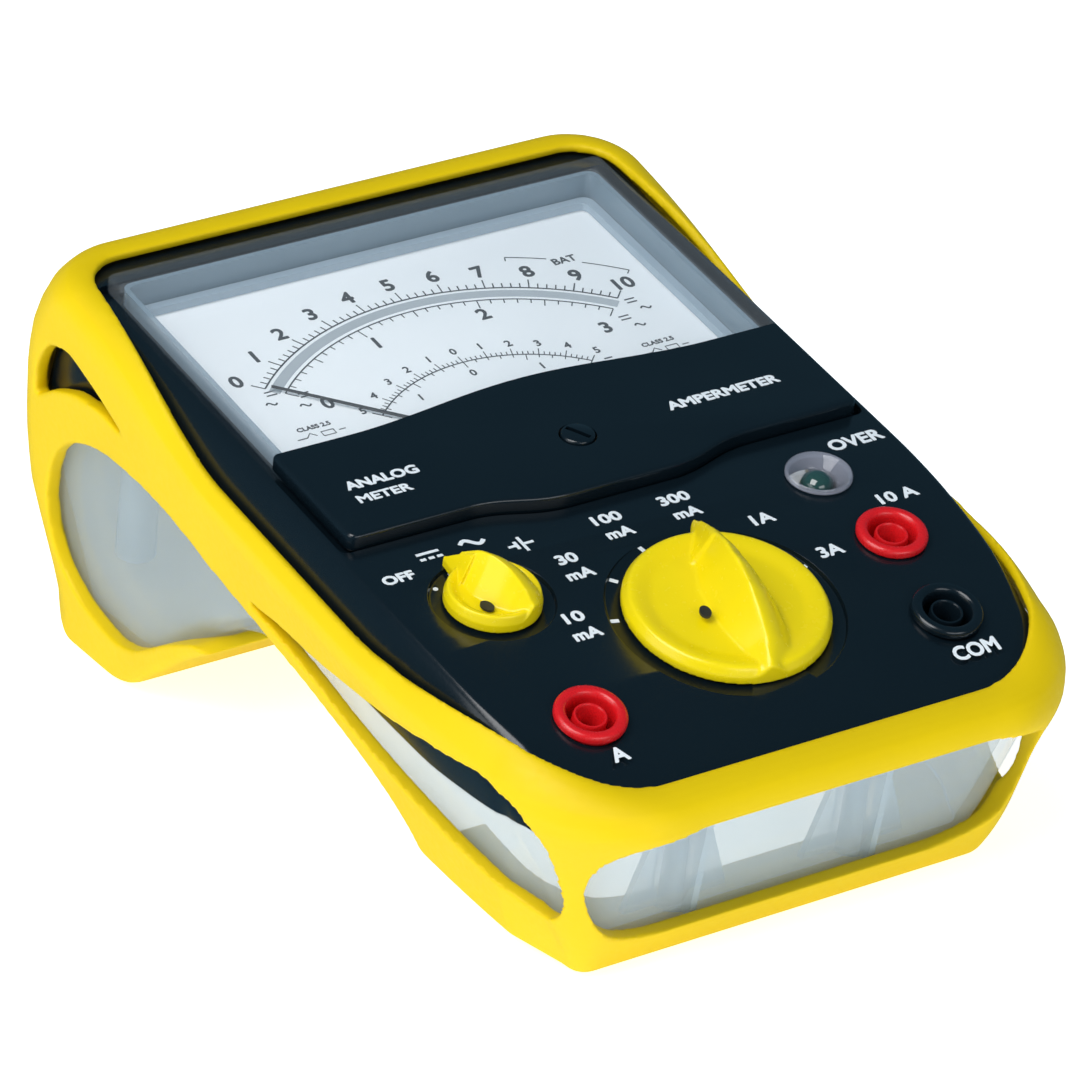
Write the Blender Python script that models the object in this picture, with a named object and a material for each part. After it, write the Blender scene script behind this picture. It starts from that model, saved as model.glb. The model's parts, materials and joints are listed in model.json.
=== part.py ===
"""Handheld analog multimeter (moving-coil ammeter) in its moulded sheath.

All dimensions are in millimetres in the face frame: U to the right, V towards the far (meter) end and
W out of the front panel, with its origin at the middle of the meter window's near edge. One parent
empty tilts that frame, so that the instrument rests on its near bottom edge and its rear foot.
"""

import math

import bmesh
import bpy
from mathutils import Vector

MM = 0.001
QUARTER = math.pi / 2
# Clearance between neighbouring pieces
GAP = 0.3

# Rest pose: tilt of the front panel and height of the face frame's origin over the surface
TILT = math.radians(10.5)
ORIGIN_HEIGHT = 53.6725
ORIGIN_BACK = -16.537

# Case envelope
HALF_WIDTH = 51.8
SIDE_TAPER = 0.0016
TAPER_FROM_V = -5.0
NEAR_V = -68.5
FAR_V = 88.2
# Plan radius of the corners by depth W, and how far the far wall bulges out
NEAR_CORNER_R = [(-40.0, 4.4), (-34.0, 6.4), (-25.0, 12.5), (-16.0, 18.5), (-11.0, 20.0)]
FAR_CORNER_R = [
    (-62.0, 10.5), (-57.0, 9.0), (-50.0, 6.5), (-42.0, 4.5), (-18.0, 4.5), (-9.0, 6.0), (-3.0, 8.5),
    (0.0, 10.0),
]
FAR_BULGE = [
    (-60.0, -0.6), (-52.0, 1.6), (-43.0, 4.6), (-32.0, 5.8), (-18.0, 4.8), (-10.0, 3.4), (-3.5, 1.8),
    (0.0, 0.0),
]
CORNER_STEPS = 5
SIDE_STEPS = 13
WALL = 2.2

# Front panel: flat under the meter, gently curved down towards the sockets
PANEL_BEND_V = -8.0
PANEL_CURVE = 0.0022

# Shoulder between the panel and the walls, as an ellipse: wide and low at the ends, steep at the sides
SHOULDER_IN_END = 5.5
SHOULDER_IN_SIDE = 3.2
SHOULDER_DROP_END = 2.0
SHOULDER_DROP_SIDE = 11.0

# Draft of the walls below DRAFT_FROM_W, in mm inwards for each mm of depth
DRAFT_FROM_W = -10.0
DRAFT_NEAR = 0.37
DRAFT_SIDE_NEAR = 0.32
DRAFT_SIDE_FAR = 0.07
DRAFT_CHANGE_V = (-25.0, 45.0)
# Radius between the walls and the underside of the case, by V, and of the sheath
BOTTOM_FILLET = [(-40.0, 1.9), (30.0, 5.0)]
SHEATH_EDGE_R = 2.1
# How much sharper the sheath's near corners are outside than inside, by W
SHEATH_CORNER_LESS = [(-38.0, 4.2), (-22.0, 0.0)]

# Underside profile of the case (V, W): shallow near part, arch, deep rear foot
BOTTOM_PROFILE = [
    (-80, -40.7), (-22, -40.7), (-12, -38.0), (0, -33.5), (8, -31.0), (15, -30.2), (22, -31.2), (31, -36.0),
    (40, -43.5), (50, -53.5), (57, -60.3), (62, -62.78), (80, -62.78 - 18 * math.tan(TILT)), (84, -63.0),
    (90, -57.0),
]
# Height at which the far corners of the underside follow the profile
FOOT_W = -62.0
# Split line between the black upper case and the clear lower case (V, W)
SPLIT_PROFILE = [
    (-80, -10.6), (-66, -11.4), (-58, -14.9), (-43, -18.8), (-28, -21.2), (-12, -20.6), (40, -17.5),
    (62, -20.0), (95, -30.0),
]

# Elastomer sheath: clearance, wall, thinner rim, extra clearance over the shoulder, and where on the
# shoulder its rim lies along the sides (a part of the quarter turn from panel to wall)
SHEATH_GAP = 0.6
SHEATH_T = 2.7
RIM_T = 1.1
SHEATH_EASE = 0.6
RIM_START = math.radians(66) / QUARTER
# Openings through the sheath: along the sides as (V, W), in the ends as (U, W), underneath as (U, V)
SLIT_WINDOW = [
    (20, -19.6), (12, -18.2), (-2, -17.2), (-20, -13.9), (-34, -10.4), (-47, -8.2), (-55.5, -9.2),
    (-59.8, -14.0), (-60.2, -28.0), (-57.0, -32.6), (-48.0, -31.8), (-34, -30.6), (-20, -28.6), (-9, -25.8),
    (0, -22.8), (10, -20.6),
]
SIDE_OPENING = [
    (83.5, -36.0), (80.5, -30.0), (74, -24.6), (66, -21.2), (54, -19.0), (42, -18.6), (30, -20.5), (16, -22.6),
    (3, -25.5), (-8, -29.5), (-16, -34), (-22, -40), (-26, -50), (30, -50), (33, -38.5), (43, -45.0),
    (55, -55.0), (62, -57.6), (74, -57.0), (82.5, -52.0), (85, -44),
]
CORNER_OPENING = [
    (88.5, -24.5), (87.5, -17.0), (83.5, -11.0), (77, -8.6), (67, -10.4), (56, -13.4), (66, -13.2),
    (75, -15.6), (82.5, -19.6),
]
FRONT_WINDOW = [
    (-28, -9.2), (28, -9.2), (39, -13), (41.5, -22), (37, -33), (28, -37.0), (-28, -37.0), (-37, -33),
    (-41.5, -22), (-39, -13),
]
REAR_WINDOW = [(-30, -14), (30, -14), (38, -20), (38, -42), (30, -50), (-30, -50), (-38, -42), (-38, -20)]
UNDER_WINDOW = [(-26, -47), (26, -47), (32, -38), (32, -12), (32, 20), (-32, 20), (-32, -12), (-32, -38)]
# How far the cutters of those openings reach past the body
FAR_OUT = 80.0

# Meter window and dial
COVER_HALF = 47.0
COVER_NEAR = 0.3
COVER_FAR = 80.2
COVER_TOP = 2.6
COVER_WALL = 1.6
COVER_SEAT = -1.0
BULGE_HALF = 19.5
BULGE_OUT = 3.4
APERTURE_HALF = 45.4
APERTURE_NEAR = 3.0
APERTURE_FAR = 78.8
DIAL_W = -5.0
DIAL_T = 0.6
MASK_FAR = 25.5
MASK_RISE = 3.2
MASK_HUMP_HALF = 18.0
MASK_T = 0.6

# Movement
PIVOT_V = 16.0
NEEDLE_LENGTH = 47.0
NEEDLE_REST = math.radians(44)
PIVOT = (0.0, PIVOT_V)
PILLAR_U = 17.5
BRIDGE_W = (-2.6, -1.6)
FRAME_W = (-23.4, -21.9)
RING_W = (-19.0, -9.0)
RING_R = (9.6, 15.0)
CORE_R = 6.2

# Zero adjuster
ZERO_SCREW_V = 10.1
ZERO_R = 2.8
ZERO_CRANK = 1.0
ZERO_SLOT_TURN = math.radians(-60)

# Panel fittings (U, V)
RANGE_AT = (0.0, -34.5)
FUNCTION_AT = (-32.8, -19.0)
LED_AT = (31.5, -12.0)
SOCKETS = {"amp_socket": (-32.5, -47.5), "ten_amp_socket": (34.0, -29.3), "common_socket": (32.5, -47.5)}
SOCKET_BODY_R = 5.2
LED_HOLE_R = 5.0
RANGE_RECESS_R = 19.4
FUNCTION_RECESS_R = 10.3
RECESS_DEPTH = 0.9
RANGE_R = 16.5
FUNCTION_R = 7.7
RANGE_REST = math.radians(-15)
FUNCTION_REST = math.radians(15)
ROTOR_LOW = -10.5

# Case screws (U, V), with their posts and bosses
CASE_SCREWS = {
    "near_left": (-16.5, -52.5),
    "near_right": (16.5, -52.5),
    "far_left": (-36.0, 82.9),
    "far_right": (36.0, 82.9),
}
BOSS_END = -14.0
SCREW_R = 1.4
SCREW_HEAD_R = 2.2
POST_R = 3.0
# Height over the underside of each screw's seat and of its post's foot, at the near and at the far end
SCREW_SEAT = {"near": (5.0, 1.0), "far": (8.6, 6.2)}

# Inside: circuit board, fuses and battery
BOARD_W = (-18.8, -17.2)
BOARD_V = (-48.5, -7.5)
BOARD_HALF = 40.0
FUSES = {"low_range_fuse": (0.0, -45.5), "high_range_fuse": (0.0, -12.0)}
FUSE_R = 2.5
FUSE_LENGTH = 20.0
BATTERY_U = (-24.2, 24.2)
BATTERY_V = (37.2, 63.7)
BATTERY_W = (-25.2, -7.8)
TRAY_WALL = 1.4
SNAP_ROOM = 3.0


# ---------------------------------------------------------------- scene and materials

for old in list(bpy.data.objects):
    bpy.data.objects.remove(old, do_unlink=True)


def material(name, colour, roughness, metallic=0.0, transmission=0.0):
    made = bpy.data.materials.new(name)
    made.use_nodes = True
    shader = made.node_tree.nodes["Principled BSDF"]
    shader.inputs["Base Color"].default_value = (*colour, 1.0)
    shader.inputs["Roughness"].default_value = roughness
    shader.inputs["Metallic"].default_value = metallic
    shader.inputs["Transmission Weight"].default_value = transmission
    return made


YELLOW_ELASTOMER = material("yellow_elastomer", (0.90, 0.68, 0.0), 0.42)
YELLOW_PLASTIC = material("yellow_plastic", (0.92, 0.72, 0.02), 0.25)
BLACK_GLOSS = material("black_gloss", (0.006, 0.012, 0.018), 0.12)
BLACK_MATT = material("black_matt", (0.02, 0.022, 0.025), 0.5)
CLEAR = material("clear_polycarbonate", (0.86, 0.91, 0.93), 0.08, transmission=0.9)
DIAL_WHITE = material("dial_white", (0.86, 0.88, 0.90), 0.4)
RED_PLASTIC = material("red_plastic", (0.70, 0.01, 0.015), 0.3)
STEEL = material("plated_steel", (0.62, 0.63, 0.64), 0.3, 1.0)
BRASS = material("brass", (0.75, 0.56, 0.24), 0.3, 1.0)
COPPER = material("enamelled_copper", (0.55, 0.22, 0.08), 0.35, 1.0)
ALUMINIUM = material("aluminium", (0.75, 0.76, 0.77), 0.4, 1.0)
BOARD_GREEN = material("board_green", (0.02, 0.16, 0.07), 0.45)
GREY_PLASTIC = material("grey_plastic", (0.30, 0.33, 0.36), 0.5)
CERAMIC = material("ceramic", (0.80, 0.76, 0.66), 0.6)
LAMP_CLEAR = material("lamp_clear", (0.45, 0.62, 0.56), 0.15, transmission=0.6)


# ---------------------------------------------------------------- small geometry tools

frame = bpy.data.objects.new("rest_frame", None)
bpy.context.collection.objects.link(frame)
frame.location = (0.0, ORIGIN_BACK * MM, ORIGIN_HEIGHT * MM)
frame.rotation_euler = (TILT, 0.0, 0.0)


def interpolate(table, at):
    """Value of a (position, value) table, in straight lines between its rows and level past its ends."""
    if at <= table[0][0]:
        return table[0][1]
    for (x0, y0), (x1, y1) in zip(table, table[1:]):
        if at <= x1:
            return y0 + (y1 - y0) * (at - x0) / (x1 - x0)
    return table[-1][1]


def ramp(at, low, high):
    """0 below low, 1 above high, smooth between."""
    t = min(1.0, max(0.0, (at - low) / (high - low)))
    return t * t * (3.0 - 2.0 * t)


def panel_w(v):
    return -PANEL_CURVE * min(0.0, v - PANEL_BEND_V) ** 2


def panel_angle(v):
    return math.atan(-2.0 * PANEL_CURVE * min(0.0, v - PANEL_BEND_V))


def add(name, mesh, look, at=(0, 0, 0), tilt=0.0, turn=0.0, sharp=40):
    """Links a mesh as a named object of the face frame; turn is about its own axis, then tilt about U."""
    mesh.materials.append(look)
    mesh.shade_smooth()
    mesh.set_sharp_from_angle(angle=math.radians(sharp))
    made = bpy.data.objects.new(name, mesh)
    bpy.context.collection.objects.link(made)
    made.parent = frame
    made.rotation_mode = "ZYX"
    made.location = Vector(at) * MM
    made.rotation_euler = (tilt, 0.0, turn)
    return made


def mesh_from(name, points, faces):
    mesh = bpy.data.meshes.new(name)
    mesh.from_pydata([Vector(p) * MM for p in points], [], faces)
    return mesh


def extruded(name, outline, low, high, axis="z"):
    """A straight prism over a 2-D outline; the outline lies across the given axis."""
    place = {"z": (0, 1, 2), "x": (2, 0, 1), "y": (0, 2, 1)}[axis]
    count = len(outline)
    flat = [(a, b, end) for end in (low, high) for a, b in outline]
    points = [tuple(point[k] for k in place) for point in flat]
    faces = [list(range(count))[::-1], list(range(count, 2 * count))]
    faces += [[i, (i + 1) % count, count + (i + 1) % count, count + i] for i in range(count)]
    mesh = mesh_from(name, points, faces)
    face_outwards(mesh)
    return mesh


def face_outwards(mesh):
    work = bmesh.new()
    work.from_mesh(mesh)
    bmesh.ops.recalc_face_normals(work, faces=work.faces)
    work.to_mesh(mesh)
    work.free()


def box(name, u, v, w):
    return extruded(name, [(u[0], v[0]), (u[1], v[0]), (u[1], v[1]), (u[0], v[1])], w[0], w[1])


def disc_outline(radius, steps=32, at=(0, 0), start=0.0):
    angles = [start + 2 * math.pi * i / steps for i in range(steps)]
    return [(at[0] + radius * math.cos(a), at[1] + radius * math.sin(a)) for a in angles]


def turned(name, profile, steps=32):
    """A solid of revolution about Z from (radius, height) points, with both ends on the axis or joined."""
    open_ends = profile[0][0] == 0 and profile[-1][0] == 0
    points = []
    rings = []
    for radius, height in profile:
        if radius == 0:
            rings.append([len(points)] * steps)
            points.append((0, 0, height))
            continue
        rings.append(list(range(len(points), len(points) + steps)))
        points += [(x, y, height) for x, y in disc_outline(radius, steps)]
    pairs = list(zip(rings, rings[1:]))
    if not open_ends:
        pairs.append((rings[-1], rings[0]))
    faces = []
    for first, second in pairs:
        for i in range(steps):
            j = (i + 1) % steps
            corner = [first[i], first[j], second[j], second[i]]
            faces.append(list(dict.fromkeys(corner)))
    mesh = mesh_from(name, points, [f for f in faces if len(f) > 2])
    face_outwards(mesh)
    return mesh


def rounded_rectangle(u, v, radius, steps=5):
    left, right = u[0] + radius, u[1] - radius
    near, far = v[0] + radius, v[1] - radius
    corners = [(right, near, -90), (right, far, 0), (left, far, 90), (left, near, 180)]
    outline = []
    for cu, cv, start in corners:
        for i in range(steps + 1):
            a = math.radians(start + 90 * i / steps)
            outline.append((cu + radius * math.cos(a), cv + radius * math.sin(a)))
    return outline


def rounded_polygon(corners, radius, steps=4):
    """The outline of a polygon with each corner turned by a quadratic curve that starts radius away."""
    outline = []
    count = len(corners)
    for i, corner in enumerate(corners):
        here = Vector(corner)
        before = Vector(corners[i - 1]) - here
        after = Vector(corners[(i + 1) % count]) - here
        first = here + before.normalized() * min(radius, before.length * 0.45)
        last = here + after.normalized() * min(radius, after.length * 0.45)
        for k in range(steps + 1):
            t = k / steps
            outline.append(tuple(first * (1 - t) ** 2 + here * 2 * t * (1 - t) + last * t * t))
    return outline


def cutter(name, mesh, at=(0, 0, 0), tilt=0.0, turn=0.0):
    made = add(name, mesh, BLACK_MATT, at, tilt, turn)
    made.hide_render = True
    made.display_type = "WIRE"
    return made


def combine(target, other, operation="DIFFERENCE"):
    step = target.modifiers.new(other.name, "BOOLEAN")
    step.operation = operation
    step.object = other
    step.solver = "EXACT"


def on_panel(at, above=0.0):
    """Place on the curved panel: location and tilt of a fitting whose axis is square to it."""
    angle = panel_angle(at[1])
    return (at[0], at[1] - above * math.sin(angle), panel_w(at[1]) + above * math.cos(angle)), angle


def beveled(target, width, segments=2, angle=35):
    step = target.modifiers.new("Bevel", "BEVEL")
    step.width = width * MM
    step.segments = segments
    step.limit_method = "ANGLE"
    step.angle_limit = math.radians(angle)
    return target


# ---------------------------------------------------------------- case envelope


def half_width(v):
    return HALF_WIDTH - SIDE_TAPER * max(0.0, TAPER_FROM_V - v) ** 2


def corner_point(end, w, nu, nv, outside=False):
    """Plan position (u, v) at depth w of the corner's point whose outward normal is (nu, nv)."""
    if end == "near":
        radius = interpolate(NEAR_CORNER_R, w) - (interpolate(SHEATH_CORNER_LESS, w) if outside else 0.0)
        centre = (half_width(NEAR_V + radius) - radius, NEAR_V + radius)
    else:
        radius = interpolate(FAR_CORNER_R, w)
        centre = (HALF_WIDTH - radius, FAR_V + interpolate(FAR_BULGE, w) - radius)
    return centre[0] + radius * nu, centre[1] + radius * nv


def outline_points():
    """Right-hand half of the plan outline at panel height, from the near end to the far end.

    Each point is (u, v, normal u, normal v, part), where part is near, side or far.
    """
    points = []
    for i in range(CORNER_STEPS + 1):
        a = math.radians(-90 + 90 * i / CORNER_STEPS)
        points.append((*corner_point("near", 0.0, math.cos(a), math.sin(a)), math.cos(a), math.sin(a), "near"))
    near = points[-1][1]
    far = corner_point("far", 0.0, 1.0, 0.0)[1]
    for i in range(1, SIDE_STEPS):
        v = near + (far - near) * i / SIDE_STEPS
        points.append((half_width(v), v, 1.0, 0.0, "side"))
    for i in range(CORNER_STEPS + 1):
        a = math.radians(90 * i / CORNER_STEPS)
        points.append((*corner_point("far", 0.0, math.cos(a), math.sin(a)), math.cos(a), math.sin(a), "far"))
    return points


OUTLINE = outline_points()


def steepness(v, nu):
    """0 where the sheath laps over the panel's edge at the two ends, 1 along the middle of the sides."""
    return max(0.0, nu) * ramp(v, -72.0, -12.0) * (1.0 - ramp(v, 30.0, 92.0))


def shoulder(v, nu, angle, offset):
    """Inset and W on the shoulder ellipse, angle 0 on the panel and 90 degrees on the wall."""
    k = steepness(v, nu)
    across = SHOULDER_IN_SIDE + (SHOULDER_IN_END - SHOULDER_IN_SIDE) * (1.0 - ramp(v, -60.0, -35.0))
    beside = max(k, ramp(nu, 0.1, 0.95) * (1.0 - ramp(v, -25.0, 0.0)))
    drop = SHOULDER_DROP_END + (SHOULDER_DROP_SIDE - SHOULDER_DROP_END) * beside
    inset = across * (1.0 - math.sin(angle)) - offset * math.sin(angle)
    return inset, panel_w(v) - drop * (1.0 - math.cos(angle)) + offset * math.cos(angle)


def placed(point, inset, w):
    """A vertex of the envelope: moved in by inset, and by the walls' draft at that height."""
    u, v, nu, nv, part = point
    if part != "side":
        u, v = corner_point(part, w, nu, nv, inset < -SHEATH_GAP - RIM_T)
    depth = max(0.0, DRAFT_FROM_W - w)
    side = DRAFT_SIDE_NEAR + (DRAFT_SIDE_FAR - DRAFT_SIDE_NEAR) * ramp(v, *DRAFT_CHANGE_V)
    end = DRAFT_NEAR if part == "near" else 0.0
    return (u - side * depth - nu * inset, v + end * depth - nv * inset, w)


def shoulder_loop(angle_of, offset_of):
    loop = []
    for point in OUTLINE:
        k = steepness(point[1], point[2])
        inset, w = shoulder(point[1], point[2], angle_of(k), offset_of(k))
        loop.append(placed(point, inset, w))
    return loop


def wall_loop(w_of, offset):
    return [placed(point, -offset, w_of(point)) for point in OUTLINE]


def bottom_loop(angle, offset):
    loop = []
    for point in OUTLINE:
        bend = SHEATH_EDGE_R if offset > SHEATH_GAP else interpolate(BOTTOM_FILLET, point[1]) + offset
        inset = bend * (1.0 - math.cos(angle)) - offset
        v = corner_point("far", FOOT_W, point[2], point[3])[1] if point[4] == "far" else point[1]
        base = interpolate(BOTTOM_PROFILE, v - max(0.0, point[3]) * inset)
        w = base + bend * (1.0 - math.sin(angle)) - offset
        loop.append(placed(point, inset, w))
    return loop


def split_w(point):
    return interpolate(SPLIT_PROFILE, point[1])


def fillet_top(point):
    return interpolate(BOTTOM_PROFILE, point[1]) + interpolate(BOTTOM_FILLET, point[1])


def sheath_fillet_top(point):
    return interpolate(BOTTOM_PROFILE, point[1]) - SHEATH_GAP - SHEATH_T + SHEATH_EDGE_R


def mirrored(loop):
    return loop + [(-u, v, w) for u, v, w in reversed(loop)]


def shell(name, outer, inner):
    """A closed wall between two stacks of half loops, each running from the opening to its closed end."""
    count = 2 * len(OUTLINE)
    points = []
    faces = []
    for stack in (outer, inner):
        start = len(points)
        for loop in stack:
            points += mirrored(loop)
        for k in range(len(stack) - 1):
            low = start + k * count
            high = low + count
            faces += [[low + i, low + (i + 1) % count, high + (i + 1) % count, high + i] for i in range(count)]
        end = start + (len(stack) - 1) * count
        for i in range(len(OUTLINE) - 1):
            faces.append([end + i, end + i + 1, end + count - 2 - i, end + count - 1 - i])
    second = len(outer) * count
    faces += [[i, (i + 1) % count, second + (i + 1) % count, second + i] for i in range(count)]
    mesh = mesh_from(name, points, faces)
    face_outwards(mesh)
    return mesh


def shoulder_foot(point):
    return shoulder(point[1], point[2], QUARTER, 0)[1]


def draft_top(point):
    return min(DRAFT_FROM_W, shoulder_foot(point) - 0.5)


def wall_stack(high_of, low_of, offset, steps):
    """Loops down a wall, without its first one."""
    loops = []
    for k in range(1, steps + 1):
        t = k / steps
        loops.append(wall_loop(lambda point, t=t: high_of(point) * (1 - t) + low_of(point) * t, offset))
    return loops


def shoulder_stack(first, last, offset_of, steps):
    """Loops over the shoulder; first and last give the angle, in quarters, for a steepness."""
    loops = []
    for k in range(steps + 1):
        t = k / steps
        angle = lambda steep, t=t: QUARTER * (first(steep) * (1 - t) + last(steep) * t)
        loops.append(shoulder_loop(angle, lambda steep, t=t: offset_of(t)))
    return loops


def bottom_stack(offset):
    return [bottom_loop(QUARTER * t, offset) for t in (0.0, 0.4, 0.7, 1.0)]


# ---------------------------------------------------------------- case and sheath

def sheath_stack(offset_of, offset):
    foot_of = fillet_top if offset <= SHEATH_GAP else sheath_fillet_top
    loops = shoulder_stack(lambda k: RIM_START * k, lambda k: 1.0, offset_of, 3)
    loops += wall_stack(shoulder_foot, draft_top, offset, 1)
    loops += wall_stack(draft_top, foot_of, offset, 4)[:-1]
    return loops + bottom_stack(offset)


def thickening(t):
    return SHEATH_GAP + RIM_T + (SHEATH_T - RIM_T) * min(1.0, 2.0 * t)


def build_sheath():
    outer = sheath_stack(thickening, SHEATH_GAP + SHEATH_T)
    inner = sheath_stack(lambda t: SHEATH_GAP + SHEATH_EASE * math.sin(math.pi * min(1.0, t + 0.1)), SHEATH_GAP)
    sheath = add("protective_sheath", shell("protective_sheath", outer, inner), YELLOW_ELASTOMER)
    along = [
        ("slit_window", SLIT_WINDOW, 3.0),
        ("side_opening", SIDE_OPENING, 4.0),
        ("corner_opening", CORNER_OPENING, 2.5),
    ]
    for name, outline, radius in along:
        opening = extruded(name, rounded_polygon(outline, radius), -FAR_OUT, FAR_OUT, "x")
        combine(sheath, cutter(name + "_cut", opening))
    front = extruded("front", rounded_polygon(FRONT_WINDOW, 6.0), -FAR_OUT, -40.0, "y")
    combine(sheath, cutter("front_window_cut", front))
    rear = extruded("rear", rounded_polygon(REAR_WINDOW, 6.0), 70.0, FAR_OUT + 30, "y")
    combine(sheath, cutter("rear_window_cut", rear))
    under = extruded("under", rounded_polygon(UNDER_WINDOW, 8.0), -60.0, -30.0)
    combine(sheath, cutter("under_window_cut", under))
    return sheath


def build_upper_case():
    outer = [wall_loop(lambda p: split_w(p) + GAP / 2, 0.0)]
    outer += shoulder_stack(lambda k: 1.0, lambda k: 0.0, lambda t: 0.0, 5)
    inner = [wall_loop(lambda p: split_w(p) + GAP / 2, -WALL)]
    inner += shoulder_stack(lambda k: 1.0, lambda k: 0.0, lambda t: -WALL, 3)
    case = add("upper_case", shell("upper_case", outer, inner), BLACK_GLOSS)
    seat = rounded_polygon(cover_outline(GAP), 2.0)
    combine(case, cutter("cover_seat_cut", extruded("seat", seat, COVER_SEAT, 5.0)))
    aperture = rounded_rectangle((-APERTURE_HALF, APERTURE_HALF), (APERTURE_NEAR, APERTURE_FAR), 3.0)
    combine(case, cutter("aperture_cut", extruded("aperture", aperture, -8.0, 5.0)))
    recesses = [("range", RANGE_AT, RANGE_RECESS_R, 4.0), ("function", FUNCTION_AT, FUNCTION_RECESS_R, 3.0)]
    for name, at, radius, hole in recesses:
        place, angle = on_panel(at)
        floor = -RECESS_DEPTH
        profile = [(0, -8.0), (hole, -8.0), (hole, floor), (radius - 0.6, floor), (radius, 2.0), (0, 2.0)]
        combine(case, cutter(name + "_recess_cut", turned(name, profile, 36), place, angle))
    holes = [("led", LED_AT, LED_HOLE_R)] + [(name, at, SOCKET_BODY_R + GAP) for name, at in SOCKETS.items()]
    for name, at, radius in holes:
        place, angle = on_panel(at)
        bore = turned(name, [(0, -9.0), (radius, -9.0), (radius, 4.0), (0, 4.0)], 20)
        combine(case, cutter(name + "_hole_cut", bore, place, angle))
    for name, at in CASE_SCREWS.items():
        root = panel_w(at[1]) - 1.6
        boss = turned(name, [(0, BOSS_END), (POST_R, BOSS_END), (POST_R, root), (0, root)], 16)
        combine(case, cutter(name + "_boss_add", boss, (*at, 0.0)), "UNION")
        hole = SCREW_R + GAP
        low, high = BOSS_END - 2, BOSS_END + 5
        bore = turned(name, [(0, low), (hole, low), (hole, high), (0, high)], 12)
        combine(case, cutter(name + "_boss_cut", bore, (*at, 0.0)))
    return case


def cover_outline(grow):
    """Plan of the meter window, with the low bulge in the middle of its near edge."""
    half = COVER_HALF + grow
    near = COVER_NEAR - grow
    far = COVER_FAR + grow
    out = BULGE_HALF + grow
    low = near - BULGE_OUT
    return [
        (-half, near), (-out - 2.5, near), (-out + 6, low), (out - 6, low), (out + 2.5, near), (half, near),
        (half, far), (-half, far),
    ]


def build_lower_case():
    outer = [wall_loop(lambda p: split_w(p) - GAP / 2, 0.0)]
    outer += wall_stack(split_w, fillet_top, 0.0, 4)[:-1] + bottom_stack(0.0)
    inner = [wall_loop(lambda p: split_w(p) - GAP / 2, -WALL)]
    inner += wall_stack(split_w, fillet_top, -WALL, 3)[:-1] + bottom_stack(-WALL)
    case = add("lower_case", shell("lower_case", outer, inner), CLEAR)
    for name, at in CASE_SCREWS.items():
        base = interpolate(BOTTOM_PROFILE, at[1])
        top = BOSS_END - GAP
        seat, low = [base + above for above in SCREW_SEAT[name.split("_")[0]]]
        column = turned(name, [(0, low), (POST_R, low), (POST_R, top), (0, top)], 16)
        combine(case, cutter(name + "_post_add", column, (*at, 0.0)), "UNION")
        mouth, hole = SCREW_HEAD_R + GAP, SCREW_R + GAP
        well = [(0, base - 9), (mouth, base - 9), (mouth, seat), (hole, seat), (hole, top + 1), (0, top + 1)]
        combine(case, cutter(name + "_post_cut", turned(name, well, 14), (*at, 0.0)))
        head = seat - GAP
        screw = [
            (0, head - 1.8), (SCREW_HEAD_R, head - 1.8), (SCREW_HEAD_R, head - 0.5), (SCREW_R + 0.6, head),
            (SCREW_R, head), (SCREW_R, top + 4.0), (0, top + 4.6),
        ]
        made = add("case_screw_" + name, turned(name, screw, 16), STEEL, (*at, 0.0))
        slot = box(name, (-1.7, 1.7), (-0.35, 0.35), (head - 2.5, head - 1.0))
        combine(made, cutter(name + "_slot_cut", slot, (*at, 0.0)))
    return case


# ---------------------------------------------------------------- meter window, dial and movement


def build_window():
    outer = rounded_polygon(cover_outline(0.0), 1.6)
    inner = rounded_polygon(cover_outline(-COVER_WALL), 1.0)
    cover = add("meter_window", extruded("meter_window", outer, COVER_SEAT + GAP, COVER_TOP), CLEAR)
    hollow = extruded("hollow", inner, COVER_SEAT - 2, COVER_TOP - COVER_WALL)
    combine(cover, cutter("window_hollow_cut", hollow))
    screw_hole = disc_outline(ZERO_R + GAP, 20, (0, ZERO_SCREW_V))
    combine(cover, cutter("zero_hole_cut", extruded("zero", screw_hole, -2.0, 5.0)))
    half = COVER_HALF - COVER_WALL - GAP
    near = COVER_NEAR + COVER_WALL + GAP
    edge = [(-half, near), (-half, MASK_FAR)]
    for i in range(-6, 7):
        u = MASK_HUMP_HALF * i / 6
        edge.append((u, MASK_FAR + MASK_RISE * (0.5 + 0.5 * math.cos(math.pi * u / MASK_HUMP_HALF))))
    edge += [(half, MASK_FAR), (half, near)]
    top = COVER_TOP - COVER_WALL - GAP
    mask = add("window_mask", extruded("window_mask", edge, top - MASK_T, top), BLACK_GLOSS)
    combine(mask, cutter("mask_hole_cut", extruded("mask", screw_hole, -3.0, 5.0)))


def build_dial():
    half = APERTURE_HALF + 1.0
    outline = rounded_rectangle((-half, half), (APERTURE_NEAR - 1.5, APERTURE_FAR + 0.5), 2.0)
    dial = add("dial_plate", extruded("dial_plate", outline, DIAL_W - DIAL_T, DIAL_W), DIAL_WHITE)
    combine(dial, cutter("dial_hub_cut", extruded("hub", disc_outline(8.0, 24, PIVOT), -8.0, 0.0)))
    for side, name in ((-1, "left"), (1, "right")):
        at = (side * PILLAR_U, PIVOT_V)
        combine(dial, cutter("dial_pillar_cut_" + name, extruded(name, disc_outline(2.2, 16, at), -8.0, 0.0)))
        at = (side * 36.0, 12.0, DIAL_W)
        profile = [(0, -3.0), (0.8, -3.0), (0.8, 0.3), (1.9, 0.3), (1.9, 1.0), (1.2, 1.3), (0, 1.3)]
        add("dial_screw_" + name, turned("dial", profile, 16), STEEL, at)
        bore = extruded(name, disc_outline(1.1, 12, at[:2]), -8.0, 0.0)
        combine(dial, cutter("dial_screw_cut_" + name, bore))


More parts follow.
